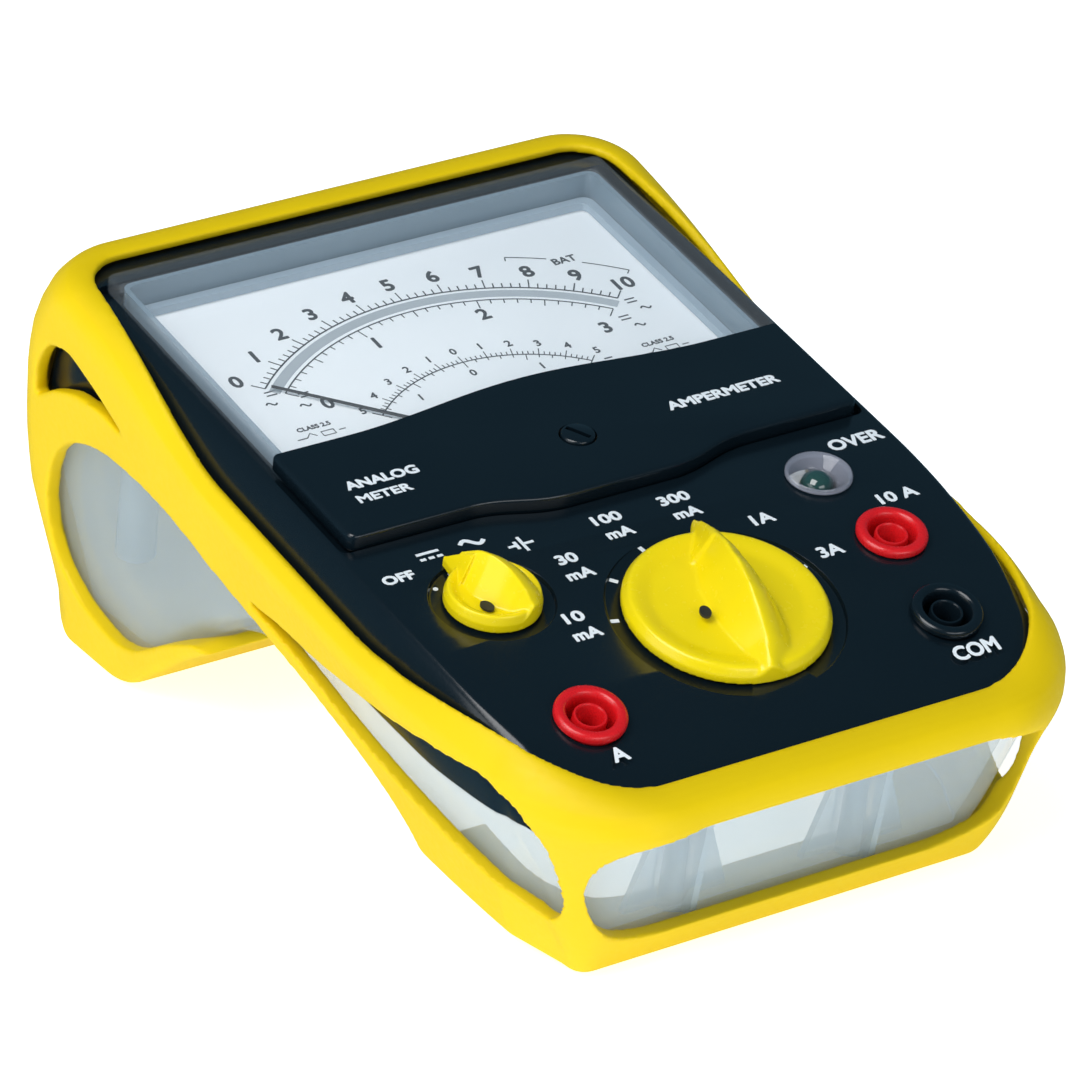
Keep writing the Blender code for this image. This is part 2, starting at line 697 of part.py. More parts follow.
def build_movement():
    at = (*PIVOT, 0.0)
    base = rounded_rectangle((-20, 20), (-11, 11), 3.0)
    plate = add("movement_frame", extruded("frame", base, *FRAME_W), ALUMINIUM, at)
    for side, name in ((-1, "left"), (1, "right")):
        low, high = FRAME_W[0] + 0.5, BRIDGE_W[0] - GAP
        pillar = turned(name, [(0, low), (1.8, low), (1.8, high), (0, high)], 16)
        combine(plate, cutter("pillar_add_" + name, pillar, (side * PILLAR_U, PIVOT_V, 0)), "UNION")
    combine(plate, cutter("rear_jewel_cut", extruded("jewel", disc_outline(1.9, 16), -26, -20), at))
    ring = extruded("ring", disc_outline(RING_R[1], 40), RING_W[0], RING_W[1])
    ring_part = add("magnet_ring", ring, STEEL, at)
    combine(ring_part, cutter("magnet_bore_cut", extruded("bore", disc_outline(RING_R[0], 32), -30, 0), at))
    cylinder = extruded("core", disc_outline(CORE_R, 28), RING_W[0] + 0.6, RING_W[1] - 0.6)
    core = add("iron_core", cylinder, STEEL, at)
    combine(core, cutter("core_bore_cut", extruded("bore", disc_outline(1.2, 12), -30, 0), at))
    arms = box("arms", (-1.5, 1.5), (-RING_R[0] + GAP, RING_R[0] - GAP), (-15.0, -13.0))
    combine(core, cutter("core_arm_add", arms, at), "UNION")
    combine(core, cutter("core_rebore_cut", extruded("bore", disc_outline(1.2, 12), -31, 0), at))
    strip = rounded_rectangle((-19.6, 19.6), (-2.4, 2.4), 2.3)
    bridge = add("front_bridge", extruded("bridge", strip, *BRIDGE_W), BRASS, at)
    combine(bridge, cutter("front_jewel_cut", extruded("jewel", disc_outline(1.9, 16), -4, 0), at))
    jewel = [(0, -3.3), (0.9, -3.3), (1.6, -2.7), (1.6, -0.1), (0, -0.1)]
    add("front_jewel_screw", turned("jewel", jewel, 16), BRASS, at)
    rear = [(0, -24.6), (1.6, -24.6), (1.6, -21.9), (0.9, -21.3), (0, -21.3)]
    add("rear_jewel_screw", turned("rear", rear, 16), BRASS, at)
    cup = rounded_rectangle((-25, 25), (-1.2, 33), 3.0)
    housing = add("meter_housing", extruded("housing", cup, -27.0, DIAL_W - DIAL_T - GAP), GREY_PLASTIC)
    hollow = extruded("hollow", rounded_rectangle((-23.2, 23.2), (0.6, 31.2), 2.0), -25.2, 0.0)
    combine(housing, cutter("housing_hollow_cut", hollow))


def build_needle():
    at = (*PIVOT, 0.0)
    staff = turned("staff", [(0, -20.9), (0.45, -20.2), (0.45, -4.0), (0, -3.6)], 12)
    add("pivot_staff", staff, STEEL, at, 0.0, NEEDLE_REST)
    winding = box("coil", (-8.4, 8.4), (-1.6, 1.6), (-20.1, -7.4))
    former = add("moving_coil", winding, COPPER, at, 0.0, NEEDLE_REST)
    window = box("window", (-7.3, 7.3), (-5.0, 5.0), (-19.6, -7.9))
    combine(former, cutter("coil_window_cut", window, at, 0.0, NEEDLE_REST))
    combine(former, cutter("coil_staff_cut", extruded("staff", disc_outline(0.75, 12), -30, 0), at))
    blade = [
        (-0.35, NEEDLE_LENGTH), (-0.9, 0.0), (-0.7, -11.0), (0.7, -11.0), (0.9, 0.0), (0.35, NEEDLE_LENGTH),
    ]
    needle = add("needle", extruded("needle", blade, -4.4, -4.0), BLACK_MATT, at, 0.0, NEEDLE_REST)
    hub = cutter("needle_hub_add", turned("hub", [(0, -5.2), (2.4, -5.2), (2.4, -3.9), (0, -3.9)], 20), at)
    combine(needle, hub, "UNION")
    combine(needle, cutter("needle_bore_cut", extruded("bore", disc_outline(0.75, 12), -30, 5), at))


def build_zero_adjuster():
    at = (0.0, ZERO_SCREW_V, 0.0)
    top = COVER_TOP + 0.5
    profile = [
        (0, -0.4), (1.3, -0.4), (1.3, 0.6), (ZERO_R, 0.9), (ZERO_R, top - 0.4), (ZERO_R - 0.4, top), (0, top),
    ]
    screw = add("zero_adjust_screw", turned("zero", profile, 24), BLACK_GLOSS, at)
    slot = box("slot", (-2.2, 2.2), (-0.45, 0.45), (top - 1.0, top + 6.0))
    combine(screw, cutter("zero_slot_cut", slot, at, 0.0, ZERO_SLOT_TURN))
    pin = turned("pin", [(0, -1.35), (0.45, -1.35), (0.45, 0.2), (0, 0.2)], 12)
    combine(screw, cutter("zero_pin_add", pin, (0.0, ZERO_SCREW_V - ZERO_CRANK, 0.0)), "UNION")
    pivot = (*PIVOT, 0.0)
    reach = PIVOT_V - ZERO_SCREW_V
    foot = -reach - 2.6
    shape = [(-2.0, 2.6), (-2.6, 0), (-1.7, -3.6), (-1.7, foot), (1.7, foot), (1.7, -3.6), (2.6, 0), (2.0, 2.6)]
    lever = add("zero_adjust_lever", extruded("lever", shape, -1.25, -0.75), BRASS, pivot)
    combine(lever, cutter("lever_bore_cut", extruded("bore", disc_outline(1.9, 16), -4, 3), pivot))
    slot = rounded_rectangle((-0.6, 0.6), (-reach - ZERO_CRANK - 0.8, -reach - ZERO_CRANK + 1.1), 0.55, 3)
    combine(lever, cutter("lever_slot_cut", extruded("slot", slot, -4, 3), pivot))


# ---------------------------------------------------------------- knobs, sockets and lamp


def grip(name, length_front, length_back, half, low, high):
    """Tapered finger grip: pointed to the front, rounded at the back, narrowing towards its top."""
    count = 24
    levels = [(low, 1.0, 1.0), (low + (high - low) * 0.55, 0.82, 0.9), (high, 0.45, 0.72)]
    rings = []
    for height, narrow, shorten in levels:
        ring = []
        for i in range(count):
            a = 2 * math.pi * i / count
            along = math.cos(a)
            width = half * narrow * abs(math.sin(a)) ** (1.25 if along > 0 else 0.8)
            reach = length_front * (shorten if height > low else 1.0) if along > 0 else length_back * shorten
            ring.append((math.copysign(width, math.sin(a)), along * reach, height))
        rings.append(ring)
    points = [p for ring in rings for p in ring]
    faces = [list(range(count))[::-1], list(range(len(points) - count, len(points)))]
    for low in range(0, len(points) - count, count):
        high = low + count
        faces += [[low + i, low + (i + 1) % count, high + (i + 1) % count, high + i] for i in range(count)]
    mesh = mesh_from(name, points, faces)
    face_outwards(mesh)
    return mesh


def build_knob(name, at, radius, rest, tip, top, stem, rotor_r):
    """A knob with its switch rotor: tip is the reach of the grip's point, top the grip's height."""
    place, angle = on_panel(at)
    low = -RECESS_DEPTH + GAP
    disc = [
        (0, low), (radius - 0.4, low), (radius, low + 0.5), (radius, 1.0), (radius - 0.6, 1.7),
        (radius * 0.6, 2.2), (0, 2.6),
    ]
    knob = add(name, turned(name, disc, 30), YELLOW_PLASTIC, place, angle, rest)
    fin = grip(name, tip, radius * 0.93, radius * 0.36, 0.6, top)
    combine(knob, cutter(name + "_grip_add", fin, place, angle, rest), "UNION")
    flange = ROTOR_LOW + 1.6
    end = low - GAP
    shaft = [(0, ROTOR_LOW), (rotor_r, ROTOR_LOW), (rotor_r, flange), (stem, flange), (stem, end), (0, end)]
    rotor = turned("rotor", shaft, 28)
    part = add(name.replace("knob", "switch_rotor"), rotor, GREY_PLASTIC, place, angle, rest)
    notch = box("notch", (-1.2, 1.2), (rotor_r - 1.4, rotor_r + 2), (ROTOR_LOW - 1, ROTOR_LOW + 3))
    combine(part, cutter(name + "_rotor_cut", notch, place, angle, rest))


def build_sockets():
    profile = [
        (SOCKET_BODY_R, -21.0), (SOCKET_BODY_R, GAP), (5.75, GAP), (5.75, 1.1), (5.3, 1.5), (4.3, 1.5),
        (3.9, 1.0), (3.9, -16.0), (3.1, -16.0), (3.1, -2.4), (2.75, -2.0), (2.75, 0.3), (2.5, 0.6), (2.1, 0.4),
        (2.1, -6.0), (2.7, -6.3), (2.7, -21.0),
    ]
    for name, at in SOCKETS.items():
        place, angle = on_panel(at)
        look = BLACK_MATT if name == "common_socket" else RED_PLASTIC
        add(name, turned(name, profile, 20), look, place, angle)
        sleeve = [(2.4, -25.0), (2.4, -7.0), (2.2, -6.6), (2.0, -6.9), (2.0, -25.0)]
        add(name.replace("socket", "contact"), turned("sleeve", sleeve, 14), BRASS, place, angle)


def build_lamp():
    place, angle = on_panel(LED_AT)
    lens = [
        (0, 0.2), (1.6, 0.5), (2.4, 0.2), (3.0, -0.2), (4.4, 0.6), (5.2, 1.0), (5.4, 0.8), (5.4, GAP),
        (4.7, GAP), (4.7, -2.8), (2.4, -2.8), (2.4, -1.6), (1.4, -0.8), (0, -0.7),
    ]
    add("lamp_lens", turned("lens", lens, 20), CLEAR, place, angle)
    lamp = [(0, -1.1), (1.2, -1.5), (1.6, -2.2), (1.6, -5.6), (2.0, -5.6), (2.0, -6.6), (0, -6.6)]
    add("overload_lamp", turned("lamp", lamp, 14), LAMP_CLEAR, place, angle)


# ---------------------------------------------------------------- inside

def build_board():
    near, far = BOARD_V
    corners = [(-BOARD_HALF, near), (BOARD_HALF, near), (BOARD_HALF + 2, far), (-BOARD_HALF - 2, far)]
    plate = extruded("board", rounded_polygon(corners, 4.0), *BOARD_W)
    board = add("circuit_board", plate, BOARD_GREEN)
    for name, at in SOCKETS.items():
        place, _ = on_panel(at, BOARD_W[0])
        hole = extruded(name, disc_outline(6.2, 20, place[:2]), -25.0, -10.0)
        combine(board, cutter(name + "_board_cut", hole))
    for name, at in FUSES.items():
        low = BOARD_W[1] + GAP + 1.2 + FUSE_R
        barrel = extruded(name, disc_outline(FUSE_R, 16), -FUSE_LENGTH / 2, FUSE_LENGTH / 2, "x")
        beveled(add(name, barrel, CERAMIC, (*at, low)), 0.3, 1, 50)
        for side, end in ((-1, "left"), (1, "right")):
            base = -FUSE_R - 1.2
            out, inside = 3.2, 2.95
            floor = base + 0.6
            clip = [
                (-out, base), (out, base), (out, 1.6), (inside, 1.6), (inside, floor), (-inside, floor),
                (-inside, 1.6), (-out, 1.6),
            ]
            middle = side * (FUSE_LENGTH / 2 - 3.0)
            spring = extruded("clip", clip, middle - 2.0, middle + 2.0, "x")
            add(f"{name}_clip_{end}", spring, BRASS, (*at, low))
    shunt = [(-1.6, 0), (1.6, 0), (1.6, 4.2), (11.4, 4.2), (11.4, 0), (14.6, 0), (14.6, 5.6), (-1.6, 5.6)]
    add("current_shunt", extruded("shunt", shunt, -1.0, 1.0, "x"), COPPER, (23.0, -43.0, BOARD_W[1] + GAP))
    chip = box("chip", (-4.8, 4.8), (-3.1, 3.1), (GAP, 3.6))
    add("amplifier_chip", chip, BLACK_MATT, (-19.0, -13.0, BOARD_W[1]))
    trimmer = turned("trimmer", [(0, GAP), (3.2, GAP), (3.2, 4.0), (1.4, 4.0), (1.4, 4.8), (0, 4.8)], 20)
    add("calibration_trimmer", trimmer, BRASS, (20.0, -13.0, BOARD_W[1]))


def build_battery():
    left, right = BATTERY_U
    near, far = BATTERY_V
    floor = BATTERY_W[0]
    cell = extruded("battery", rounded_rectangle(BATTERY_U, BATTERY_V, 2.0), *BATTERY_W)
    add("battery", cell, GREY_PLASTIC)
    room_u = (left - GAP, right + GAP + SNAP_ROOM)
    room_v = (near - GAP, far + GAP)
    outline = rounded_rectangle(
        (room_u[0] - TRAY_WALL, room_u[1] + TRAY_WALL), (room_v[0] - TRAY_WALL, room_v[1] + TRAY_WALL), 2.5
    )
    tray = add("battery_tray", extruded("tray", outline, floor - TRAY_WALL - GAP, floor + 8.0), BLACK_MATT)
    hollow = extruded("hollow", rounded_rectangle(room_u, room_v, 2.0), floor - GAP, 0.0)
    combine(tray, cutter("tray_hollow_cut", hollow))
    snap = box("snap", (0.0, 1.6), (0.0, 20.0), (0.0, 12.0))
    add("battery_snap", snap, BLACK_MATT, (right + 0.8, near + 3.2, floor + 2.6))


build_sheath()
build_upper_case()
build_lower_case()
build_window()
build_dial()
build_movement()
build_needle()
build_zero_adjuster()
build_knob("range_knob", RANGE_AT, RANGE_R, RANGE_REST, 18.4, 8.6, 2.6, 7.6)
build_knob("function_knob", FUNCTION_AT, FUNCTION_R, FUNCTION_REST, 9.7, 6.8, 1.9, 6.4)
build_sockets()
build_lamp()
build_board()
build_battery()
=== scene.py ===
import json
import math

import bmesh
import bpy
import numpy as np
from mathutils import Matrix, Vector


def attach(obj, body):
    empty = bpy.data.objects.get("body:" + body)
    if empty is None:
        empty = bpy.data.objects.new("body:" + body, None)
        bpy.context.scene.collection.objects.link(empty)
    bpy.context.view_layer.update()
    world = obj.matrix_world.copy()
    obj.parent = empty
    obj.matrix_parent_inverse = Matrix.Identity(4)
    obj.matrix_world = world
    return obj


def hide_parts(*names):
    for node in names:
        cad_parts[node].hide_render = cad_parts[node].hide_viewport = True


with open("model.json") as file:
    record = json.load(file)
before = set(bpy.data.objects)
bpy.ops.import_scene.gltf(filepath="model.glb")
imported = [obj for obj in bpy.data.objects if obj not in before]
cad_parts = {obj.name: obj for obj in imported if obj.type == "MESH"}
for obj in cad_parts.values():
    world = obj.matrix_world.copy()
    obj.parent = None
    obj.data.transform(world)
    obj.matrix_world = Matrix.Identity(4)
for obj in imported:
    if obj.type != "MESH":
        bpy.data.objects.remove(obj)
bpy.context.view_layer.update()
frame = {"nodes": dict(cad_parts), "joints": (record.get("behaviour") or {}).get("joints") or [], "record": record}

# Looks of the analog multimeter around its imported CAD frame. Sizes are in millimetres in the face frame:
# U to the right, V towards the far (meter) end, W out of the front panel.

MM = 0.001
QUARTER = math.pi / 2
# Clearance between neighbouring pieces
GAP = 0.3

# Case envelope, with the plan radius of its corners and the bulge of its far wall by depth W
HALF_WIDTH = 51.8
SIDE_TAPER = 0.0016
TAPER_FROM_V = -5.0
NEAR_V = -68.5
FAR_V = 88.2
NEAR_CORNER_R = [(-40.0, 4.4), (-34.0, 6.4), (-25.0, 12.5), (-16.0, 18.5), (-11.0, 20.0)]
FAR_CORNER_R = [
    (-62.0, 10.5), (-57.0, 9.0), (-50.0, 6.5), (-42.0, 4.5), (-18.0, 4.5), (-9.0, 6.0), (-3.0, 8.5),
    (0.0, 10.0),
]
FAR_BULGE = [
    (-60.0, -0.6), (-52.0, 1.6), (-43.0, 4.6), (-32.0, 5.8), (-18.0, 4.8), (-10.0, 3.4), (-3.5, 1.8),
    (0.0, 0.0),
]
CORNER_STEPS = 16
SIDE_STEPS = 56
WALL = 2.2
# Front panel: flat under the meter, gently curved down towards the sockets
PANEL_BEND_V = -8.0
PANEL_CURVE = 0.0022
# Shoulder between the panel and the walls: wide and low at the ends, steep at the sides
SHOULDER_IN_END = 5.5
SHOULDER_IN_SIDE = 3.2
SHOULDER_DROP_END = 2.0
SHOULDER_DROP_SIDE = 11.0
SHOULDER_NARROWS_V = (-60.0, -35.0)
SHOULDER_CORNER_V = (-25.0, 0.0)
SHOULDER_CORNER_TURN = (0.1, 0.95)
# Draft of the walls below DRAFT_FROM_W
DRAFT_FROM_W = -10.0
DRAFT_NEAR = 0.37
DRAFT_SIDE_NEAR = 0.32
DRAFT_SIDE_FAR = 0.07
DRAFT_CHANGE_V = (-25.0, 45.0)
# Radius between the walls and the underside of the case, by V, and of the sheath
BOTTOM_FILLET = [(-40.0, 1.9), (30.0, 5.0)]
SHEATH_EDGE_R = 2.1
# How much tighter the sheath turns its near corners, by W
SHEATH_CORNER_LESS = [(-38.0, 4.2), (-22.0, 0.0)]
# Underside of the case (V, W): shallow near part, arch and deep rear foot, level when it stands
FOOT_DROP = 18.0 * math.tan(math.radians(10.5))
BOTTOM_PROFILE = [
    (-80, -40.7), (-22, -40.7), (-12, -38.0), (0, -33.5), (8, -31.0), (15, -30.2), (22, -31.2), (31, -36.0),
    (40, -43.5), (50, -53.5), (57, -60.3), (62, -62.78), (80, -62.78 - FOOT_DROP), (84, -63.0), (90, -57.0),
]
FOOT_W = -62.0
# Split line between the black upper case and the clear lower case (V, W)
SPLIT_PROFILE = [
    (-80, -10.6), (-66, -11.4), (-58, -14.9), (-43, -18.8), (-28, -21.2), (-12, -20.6), (40, -17.5),
    (62, -20.0), (95, -30.0),
]

# Sheath, with its openings: along the sides as (V, W), in the ends as (U, W), underneath as (U, V)
SHEATH_GAP = 0.6
SHEATH_T = 2.7
RIM_T = 1.5
RIM_START = math.radians(66) / QUARTER
# Stretches of V over which the sheath's lap withdraws from the panel's edge, from either end
LAP_NEAR_V = (-72.0, -12.0)
LAP_FAR_V = (30.0, 92.0)
# Insets beyond this one belong to the sheath's outer face
OUTSIDE_INSET = 1.7
SLIT_WINDOW = [
    (20, -19.6), (12, -18.2), (-2, -17.2), (-20, -13.9), (-34, -10.4), (-47, -8.2), (-55.5, -9.2),
    (-59.8, -14.0), (-60.2, -28.0), (-57.0, -32.6), (-48.0, -31.8), (-34, -30.6), (-20, -28.6), (-9, -25.8),
    (0, -22.8), (10, -20.6),
]
SIDE_OPENING = [
    (83.5, -36.0), (80.5, -30.0), (74, -24.6), (66, -21.2), (54, -19.0), (42, -18.6), (30, -20.5),
    (16, -22.6), (3, -25.5), (-8, -29.5), (-16, -34), (-22, -40), (-26, -50), (30, -50), (33, -38.5),
    (43, -45.0), (55, -55.0), (62, -57.6), (74, -57.0), (82.5, -52.0), (85, -44),
]
CORNER_OPENING = [
    (88.5, -24.5), (87.5, -17.0), (83.5, -11.0), (77, -8.6), (67, -10.4), (56, -13.4), (66, -13.2),
    (75, -15.6), (82.5, -19.6),
]
FRONT_WINDOW = [
    (-28, -9.2), (28, -9.2), (39, -13), (41.5, -22), (37, -33), (28, -37.0), (-28, -37.0), (-37, -33),
    (-41.5, -22), (-39, -13),
]
REAR_WINDOW = [(-30, -14), (30, -14), (38, -20), (38, -42), (30, -50), (-30, -50), (-38, -42), (-38, -20)]
UNDER_WINDOW = [(-26, -47), (26, -47), (32, -38), (32, -12), (32, 20), (-32, 20), (-32, -12), (-32, -38)]
# Their cutters: name, outline, rounding of its corners, low and high end, axis
SHEATH_CUTS = (
    ("slit_cut", SLIT_WINDOW, 3.0, -80.0, 80.0, "x"),
    ("side_cut", SIDE_OPENING, 4.0, -80.0, 80.0, "x"),
    ("corner_cut", CORNER_OPENING, 2.5, -80.0, 80.0, "x"),
    ("front_cut", FRONT_WINDOW, 6.0, -80.0, -40.0, "y"),
    ("rear_cut", REAR_WINDOW, 6.0, 70.0, 110.0, "y"),
    ("under_cut", UNDER_WINDOW, 8.0, -60.0, -30.0, "z"),
)
# Voxel size, smoothing rounds and share of faces kept when the sheath is fused into one skin
SHEATH_SKIN = (0.4, 9, 0.22)

# Meter window, mask and dial
COVER_HALF = 47.0
COVER_NEAR = 0.3
COVER_FAR = 80.2
COVER_TOP = 2.6
COVER_LOW = -0.7
COVER_WALL = 1.6
COVER_SLOT = 1.1
SEAT_W = -1.6
BULGE_HALF = 19.5
BULGE_OUT = 3.4
APERTURE_HALF = 45.4
APERTURE_NEAR = 3.0
APERTURE_FAR = 78.8
MASK_SIDE_V = 24.6
MASK_RISE = 3.0
MASK_RISE_HALF = 34.0
DIAL_W = -5.0
DIAL_T = 0.6
PIVOT_V = 16.0
ZERO_SCREW_V = 10.1
ZERO_R = 2.8
ZERO_SLOT_TURN = math.radians(-60)
NEEDLE_REST = math.radians(44)
NEEDLE_W = (-4.4, -4.0)
PIVOT = (0.0, PIVOT_V)

# Panel fittings (U, V)
RANGE_AT = (0.0, -34.5)
FUNCTION_AT = (-32.8, -19.0)
LED_AT = (31.5, -12.0)
SOCKETS = {"amp_socket": (-32.5, -47.5), "ten_amp_socket": (34.0, -29.3), "common_socket": (32.5, -47.5)}
RANGE_RECESS_R = 19.4
FUNCTION_RECESS_R = 10.3
RECESS_DEPTH = 0.9
RANGE_R = 16.5
FUNCTION_R = 7.7
RANGE_MARK_R = (17.2, 18.8)
FUNCTION_MARK_R = 9.0
RANGE_REST = math.radians(-15)
FUNCTION_REST = math.radians(15)
SOCKET_BODY_R = 5.2
LED_HOLE_R = 5.0

# Case screws (U, V), with the clear posts that hold them
CASE_SCREWS = [(-16.5, -52.5), (16.5, -52.5), (-36.0, 82.9), (36.0, 82.9)]
POST_R = 3.0
WELL_R = 1.9
WEB_HALF_T = 0.6
BOSS_END = -14.0

# The face frame, found from the needle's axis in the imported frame
needle_joint = next(joint for joint in frame["joints"] if joint["name"] == "needle_swing")
TILT = math.atan2(-needle_joint["axis"][1], needle_joint["axis"][2])
FACE_TURN = Matrix.Rotation(TILT, 4, "X")
FACE_ORIGIN = Vector(needle_joint["pos_m"]) - FACE_TURN @ Vector((0, PIVOT_V * MM, 0))
FACE = Matrix.Translation(FACE_ORIGIN) @ FACE_TURN @ Matrix.Scale(MM, 4)


# ---------------------------------------------------------------- finishes

# Noise scale of the broad mottling, and the grain's height in metres
MOTTLE_SCALE = 70.0
GRAIN_HEIGHT = 0.0002


def set_inputs(node, values):
    for name, value in values.items():
        node.inputs[name].default_value = value
    return node


def finish(
    name, colour, other, roughness, metallic=0.0, alpha=1.0, coat=0.0, grain=900.0, bump=0.05, glow=0.0,
    shine=0.5,
):
    """A procedural finish: broad mottling between two close colours, uneven gloss and a fine grain; glow makes it
    give off light of its own colour, which on the clear case and the dial is painted light.
    """
    look = bpy.data.materials.new(name)
    look.use_nodes = True
    nodes = look.node_tree.nodes
    links = look.node_tree.links
    shader = nodes["Principled BSDF"]
    place = nodes.new("ShaderNodeTexCoord").outputs["Object"]
    broad = set_inputs(nodes.new("ShaderNodeTexNoise"), {"Scale": MOTTLE_SCALE, "Detail": 4.0})
    fine = set_inputs(nodes.new("ShaderNodeTexNoise"), {"Scale": grain, "Detail": 2.0})
    mix = nodes.new("ShaderNodeMix")
    mix.data_type = "RGBA"
    mix.inputs[6].default_value = (*colour, 1.0)
    mix.inputs[7].default_value = (*other, 1.0)
    gloss = set_inputs(nodes.new("ShaderNodeMapRange"), {"From Min": 0.3, "From Max": 0.7})
    set_inputs(gloss, {"To Min": roughness * 0.88, "To Max": roughness * 1.12})
    relief = set_inputs(nodes.new("ShaderNodeBump"), {"Strength": bump, "Distance": GRAIN_HEIGHT})
    links.new(place, broad.inputs["Vector"])
    links.new(place, fine.inputs["Vector"])
    links.new(broad.outputs["Fac"], mix.inputs[0])
    links.new(mix.outputs[2], shader.inputs["Base Color"])
    links.new(fine.outputs["Fac"], gloss.inputs["Value"])
    links.new(gloss.outputs["Result"], shader.inputs["Roughness"])
    links.new(fine.outputs["Fac"], relief.inputs["Height"])
    links.new(relief.outputs["Normal"], shader.inputs["Normal"])
    set_inputs(shader, {"Metallic": metallic, "Alpha": alpha, "Specular IOR Level": shine})
    set_inputs(shader, {"Coat Weight": coat, "Coat Roughness": 0.08})
    # glow: emission of the surface's own colour, painted light where a part is no lamp
    if glow:
        links.new(mix.outputs[2], shader.inputs["Emission Color"])
        shader.inputs["Emission Strength"].default_value = glow
    return look


LOOKS = {
    "yellow_elastomer": finish(
        "sheath_yellow", (0.84, 0.585, 0.0), (0.79, 0.54, 0.0), 0.5, bump=0.03, shine=0.25
    ),
    "yellow_plastic": finish(
        "knob_yellow", (0.93, 0.72, 0.004), (0.90, 0.68, 0.002), 0.25, bump=0.0, shine=0.4
    ),
    "black_gloss": finish(
        "case_black", (0.003, 0.007, 0.011), (0.004, 0.009, 0.013), 0.2, grain=2200.0, bump=0.03
    ),
    "black_matt": finish("matt_black", (0.012, 0.013, 0.015), (0.02, 0.021, 0.023), 0.42),
    # The clear case's glow is painted light: it gives off light so that it and the parts seen through it look
    # brighter than the lamps make them.
    "clear_polycarbonate": finish(
        "clear_case", (0.50, 0.59, 0.64), (0.60, 0.68, 0.72), 0.1, alpha=0.27, bump=0.02, glow=0.2
    ),
    # The dial's glow is painted light: the plate gives off a little light of its own under the window.
    "dial_white": finish("dial_face", (0.92, 0.94, 0.95), (0.89, 0.92, 0.94), 0.45, glow=0.08),
    "red_plastic": finish("socket_red", (0.72, 0.010, 0.014), (0.66, 0.008, 0.012), 0.28, bump=0.0),
    "plated_steel": finish("plated_steel_finish", (0.60, 0.61, 0.62), (0.52, 0.53, 0.55), 0.3, 1.0),
    "brass": finish("brass_finish", (0.78, 0.57, 0.25), (0.66, 0.46, 0.19), 0.3, 1.0),
    "enamelled_copper": finish("copper_finish", (0.56, 0.22, 0.08), (0.44, 0.16, 0.06), 0.34, 1.0),
    "aluminium": finish("aluminium_finish", (0.76, 0.77, 0.78), (0.66, 0.67, 0.69), 0.38, 1.0),
    "board_green": finish("board_finish", (0.02, 0.17, 0.07), (0.015, 0.13, 0.05), 0.4),
    "grey_plastic": finish("grey_plastic_finish", (0.30, 0.34, 0.37), (0.25, 0.29, 0.32), 0.45),
    "ceramic": finish("ceramic_finish", (0.82, 0.78, 0.68), (0.75, 0.71, 0.62), 0.5),
    # The lamp dome's dark green is painted reflection: it stands in for the metal dish seen inside the clear lamp.
    "lamp_clear": finish(
        "lamp_dome", (0.010, 0.045, 0.040), (0.03, 0.08, 0.07), 0.08, coat=1.0, bump=0.2, grain=500.0
    ),
}
GLASS = finish("window_glass", (0.80, 0.87, 0.92), (0.82, 0.88, 0.93), 0.03, alpha=0.05, bump=0.0)
POST_CLEAR = finish("case_posts", (0.50, 0.62, 0.70), (0.62, 0.72, 0.78), 0.1, alpha=0.5, bump=0.02)
# Window wall and ledge: darker and lighter grey-blue copies of the clear plastic, painted shade for how the
# window's clear walls look.
WALL_CLEAR = finish("window_wall", (0.27, 0.37, 0.45), (0.33, 0.44, 0.52), 0.08, alpha=0.55, bump=0.0)
LEDGE_CLEAR = finish("window_ledge", (0.40, 0.50, 0.58), (0.48, 0.58, 0.66), 0.1, alpha=0.72, bump=0.0)
LENS_CLEAR = finish(
    "lamp_bezel", (0.36, 0.37, 0.45), (0.46, 0.47, 0.55), 0.12, alpha=0.42, coat=0.8, bump=0.0
)
PRINT_WHITE = finish("print_white", (0.90, 0.93, 0.95), (0.84, 0.87, 0.90), 0.4)
PRINT_DARK = finish("print_dark", (0.03, 0.035, 0.04), (0.05, 0.055, 0.06), 0.45)
# The mirror band's flat grey is painted reflection: it stands in for what the band's mirror shows.
BAND_GREY = finish("mirror_band", (0.44, 0.48, 0.51), (0.50, 0.54, 0.57), 0.2, bump=0.0)


# ---------------------------------------------------------------- small geometry tools


def interpolate(table, at):
    """Value of a (position, value) table, in straight lines between its rows and level past its ends."""
    if at <= table[0][0]:
        return table[0][1]
    for (x0, y0), (x1, y1) in zip(table, table[1:]):
        if at <= x1:
            return y0 + (y1 - y0) * (at - x0) / (x1 - x0)
    return table[-1][1]


def eased(table, at, reach):
    """A (position, value) table read with its kinks rounded over reach on either side."""
    return sum(interpolate(table, at + reach * k / 3.0) for k in range(-3, 4)) / 7.0


def ramp(at, low, high):
    """0 below low, 1 above high, smooth between."""
    t = min(1.0, max(0.0, (at - low) / (high - low)))
    return t * t * (3.0 - 2.0 * t)


def panel_w(v):
    return -PANEL_CURVE * min(0.0, v - PANEL_BEND_V) ** 2


def panel_place(at, turn=0.0):
    """The frame of a fitting that stands square on the curved panel."""
    angle = math.atan(-2.0 * PANEL_CURVE * min(0.0, at[1] - PANEL_BEND_V))
    place = Matrix.Translation((at[0], at[1], panel_w(at[1])))
    return place @ Matrix.Rotation(angle, 4, "X") @ Matrix.Rotation(turn, 4, "Z")


def solid(name, points, faces, place=Matrix.Identity(4)):
    """A mesh object from points in the face frame, with its normals outwards and its origin at zero."""
    mesh = bpy.data.meshes.new(name)
    at = FACE @ place
    mesh.from_pydata([at @ Vector(p) for p in points], [], faces)
    work = bmesh.new()
    work.from_mesh(mesh)
    bmesh.ops.recalc_face_normals(work, faces=work.faces)
    work.to_mesh(mesh)
    work.free()
    made = bpy.data.objects.new(name, mesh)
    bpy.context.collection.objects.link(made)
    return made


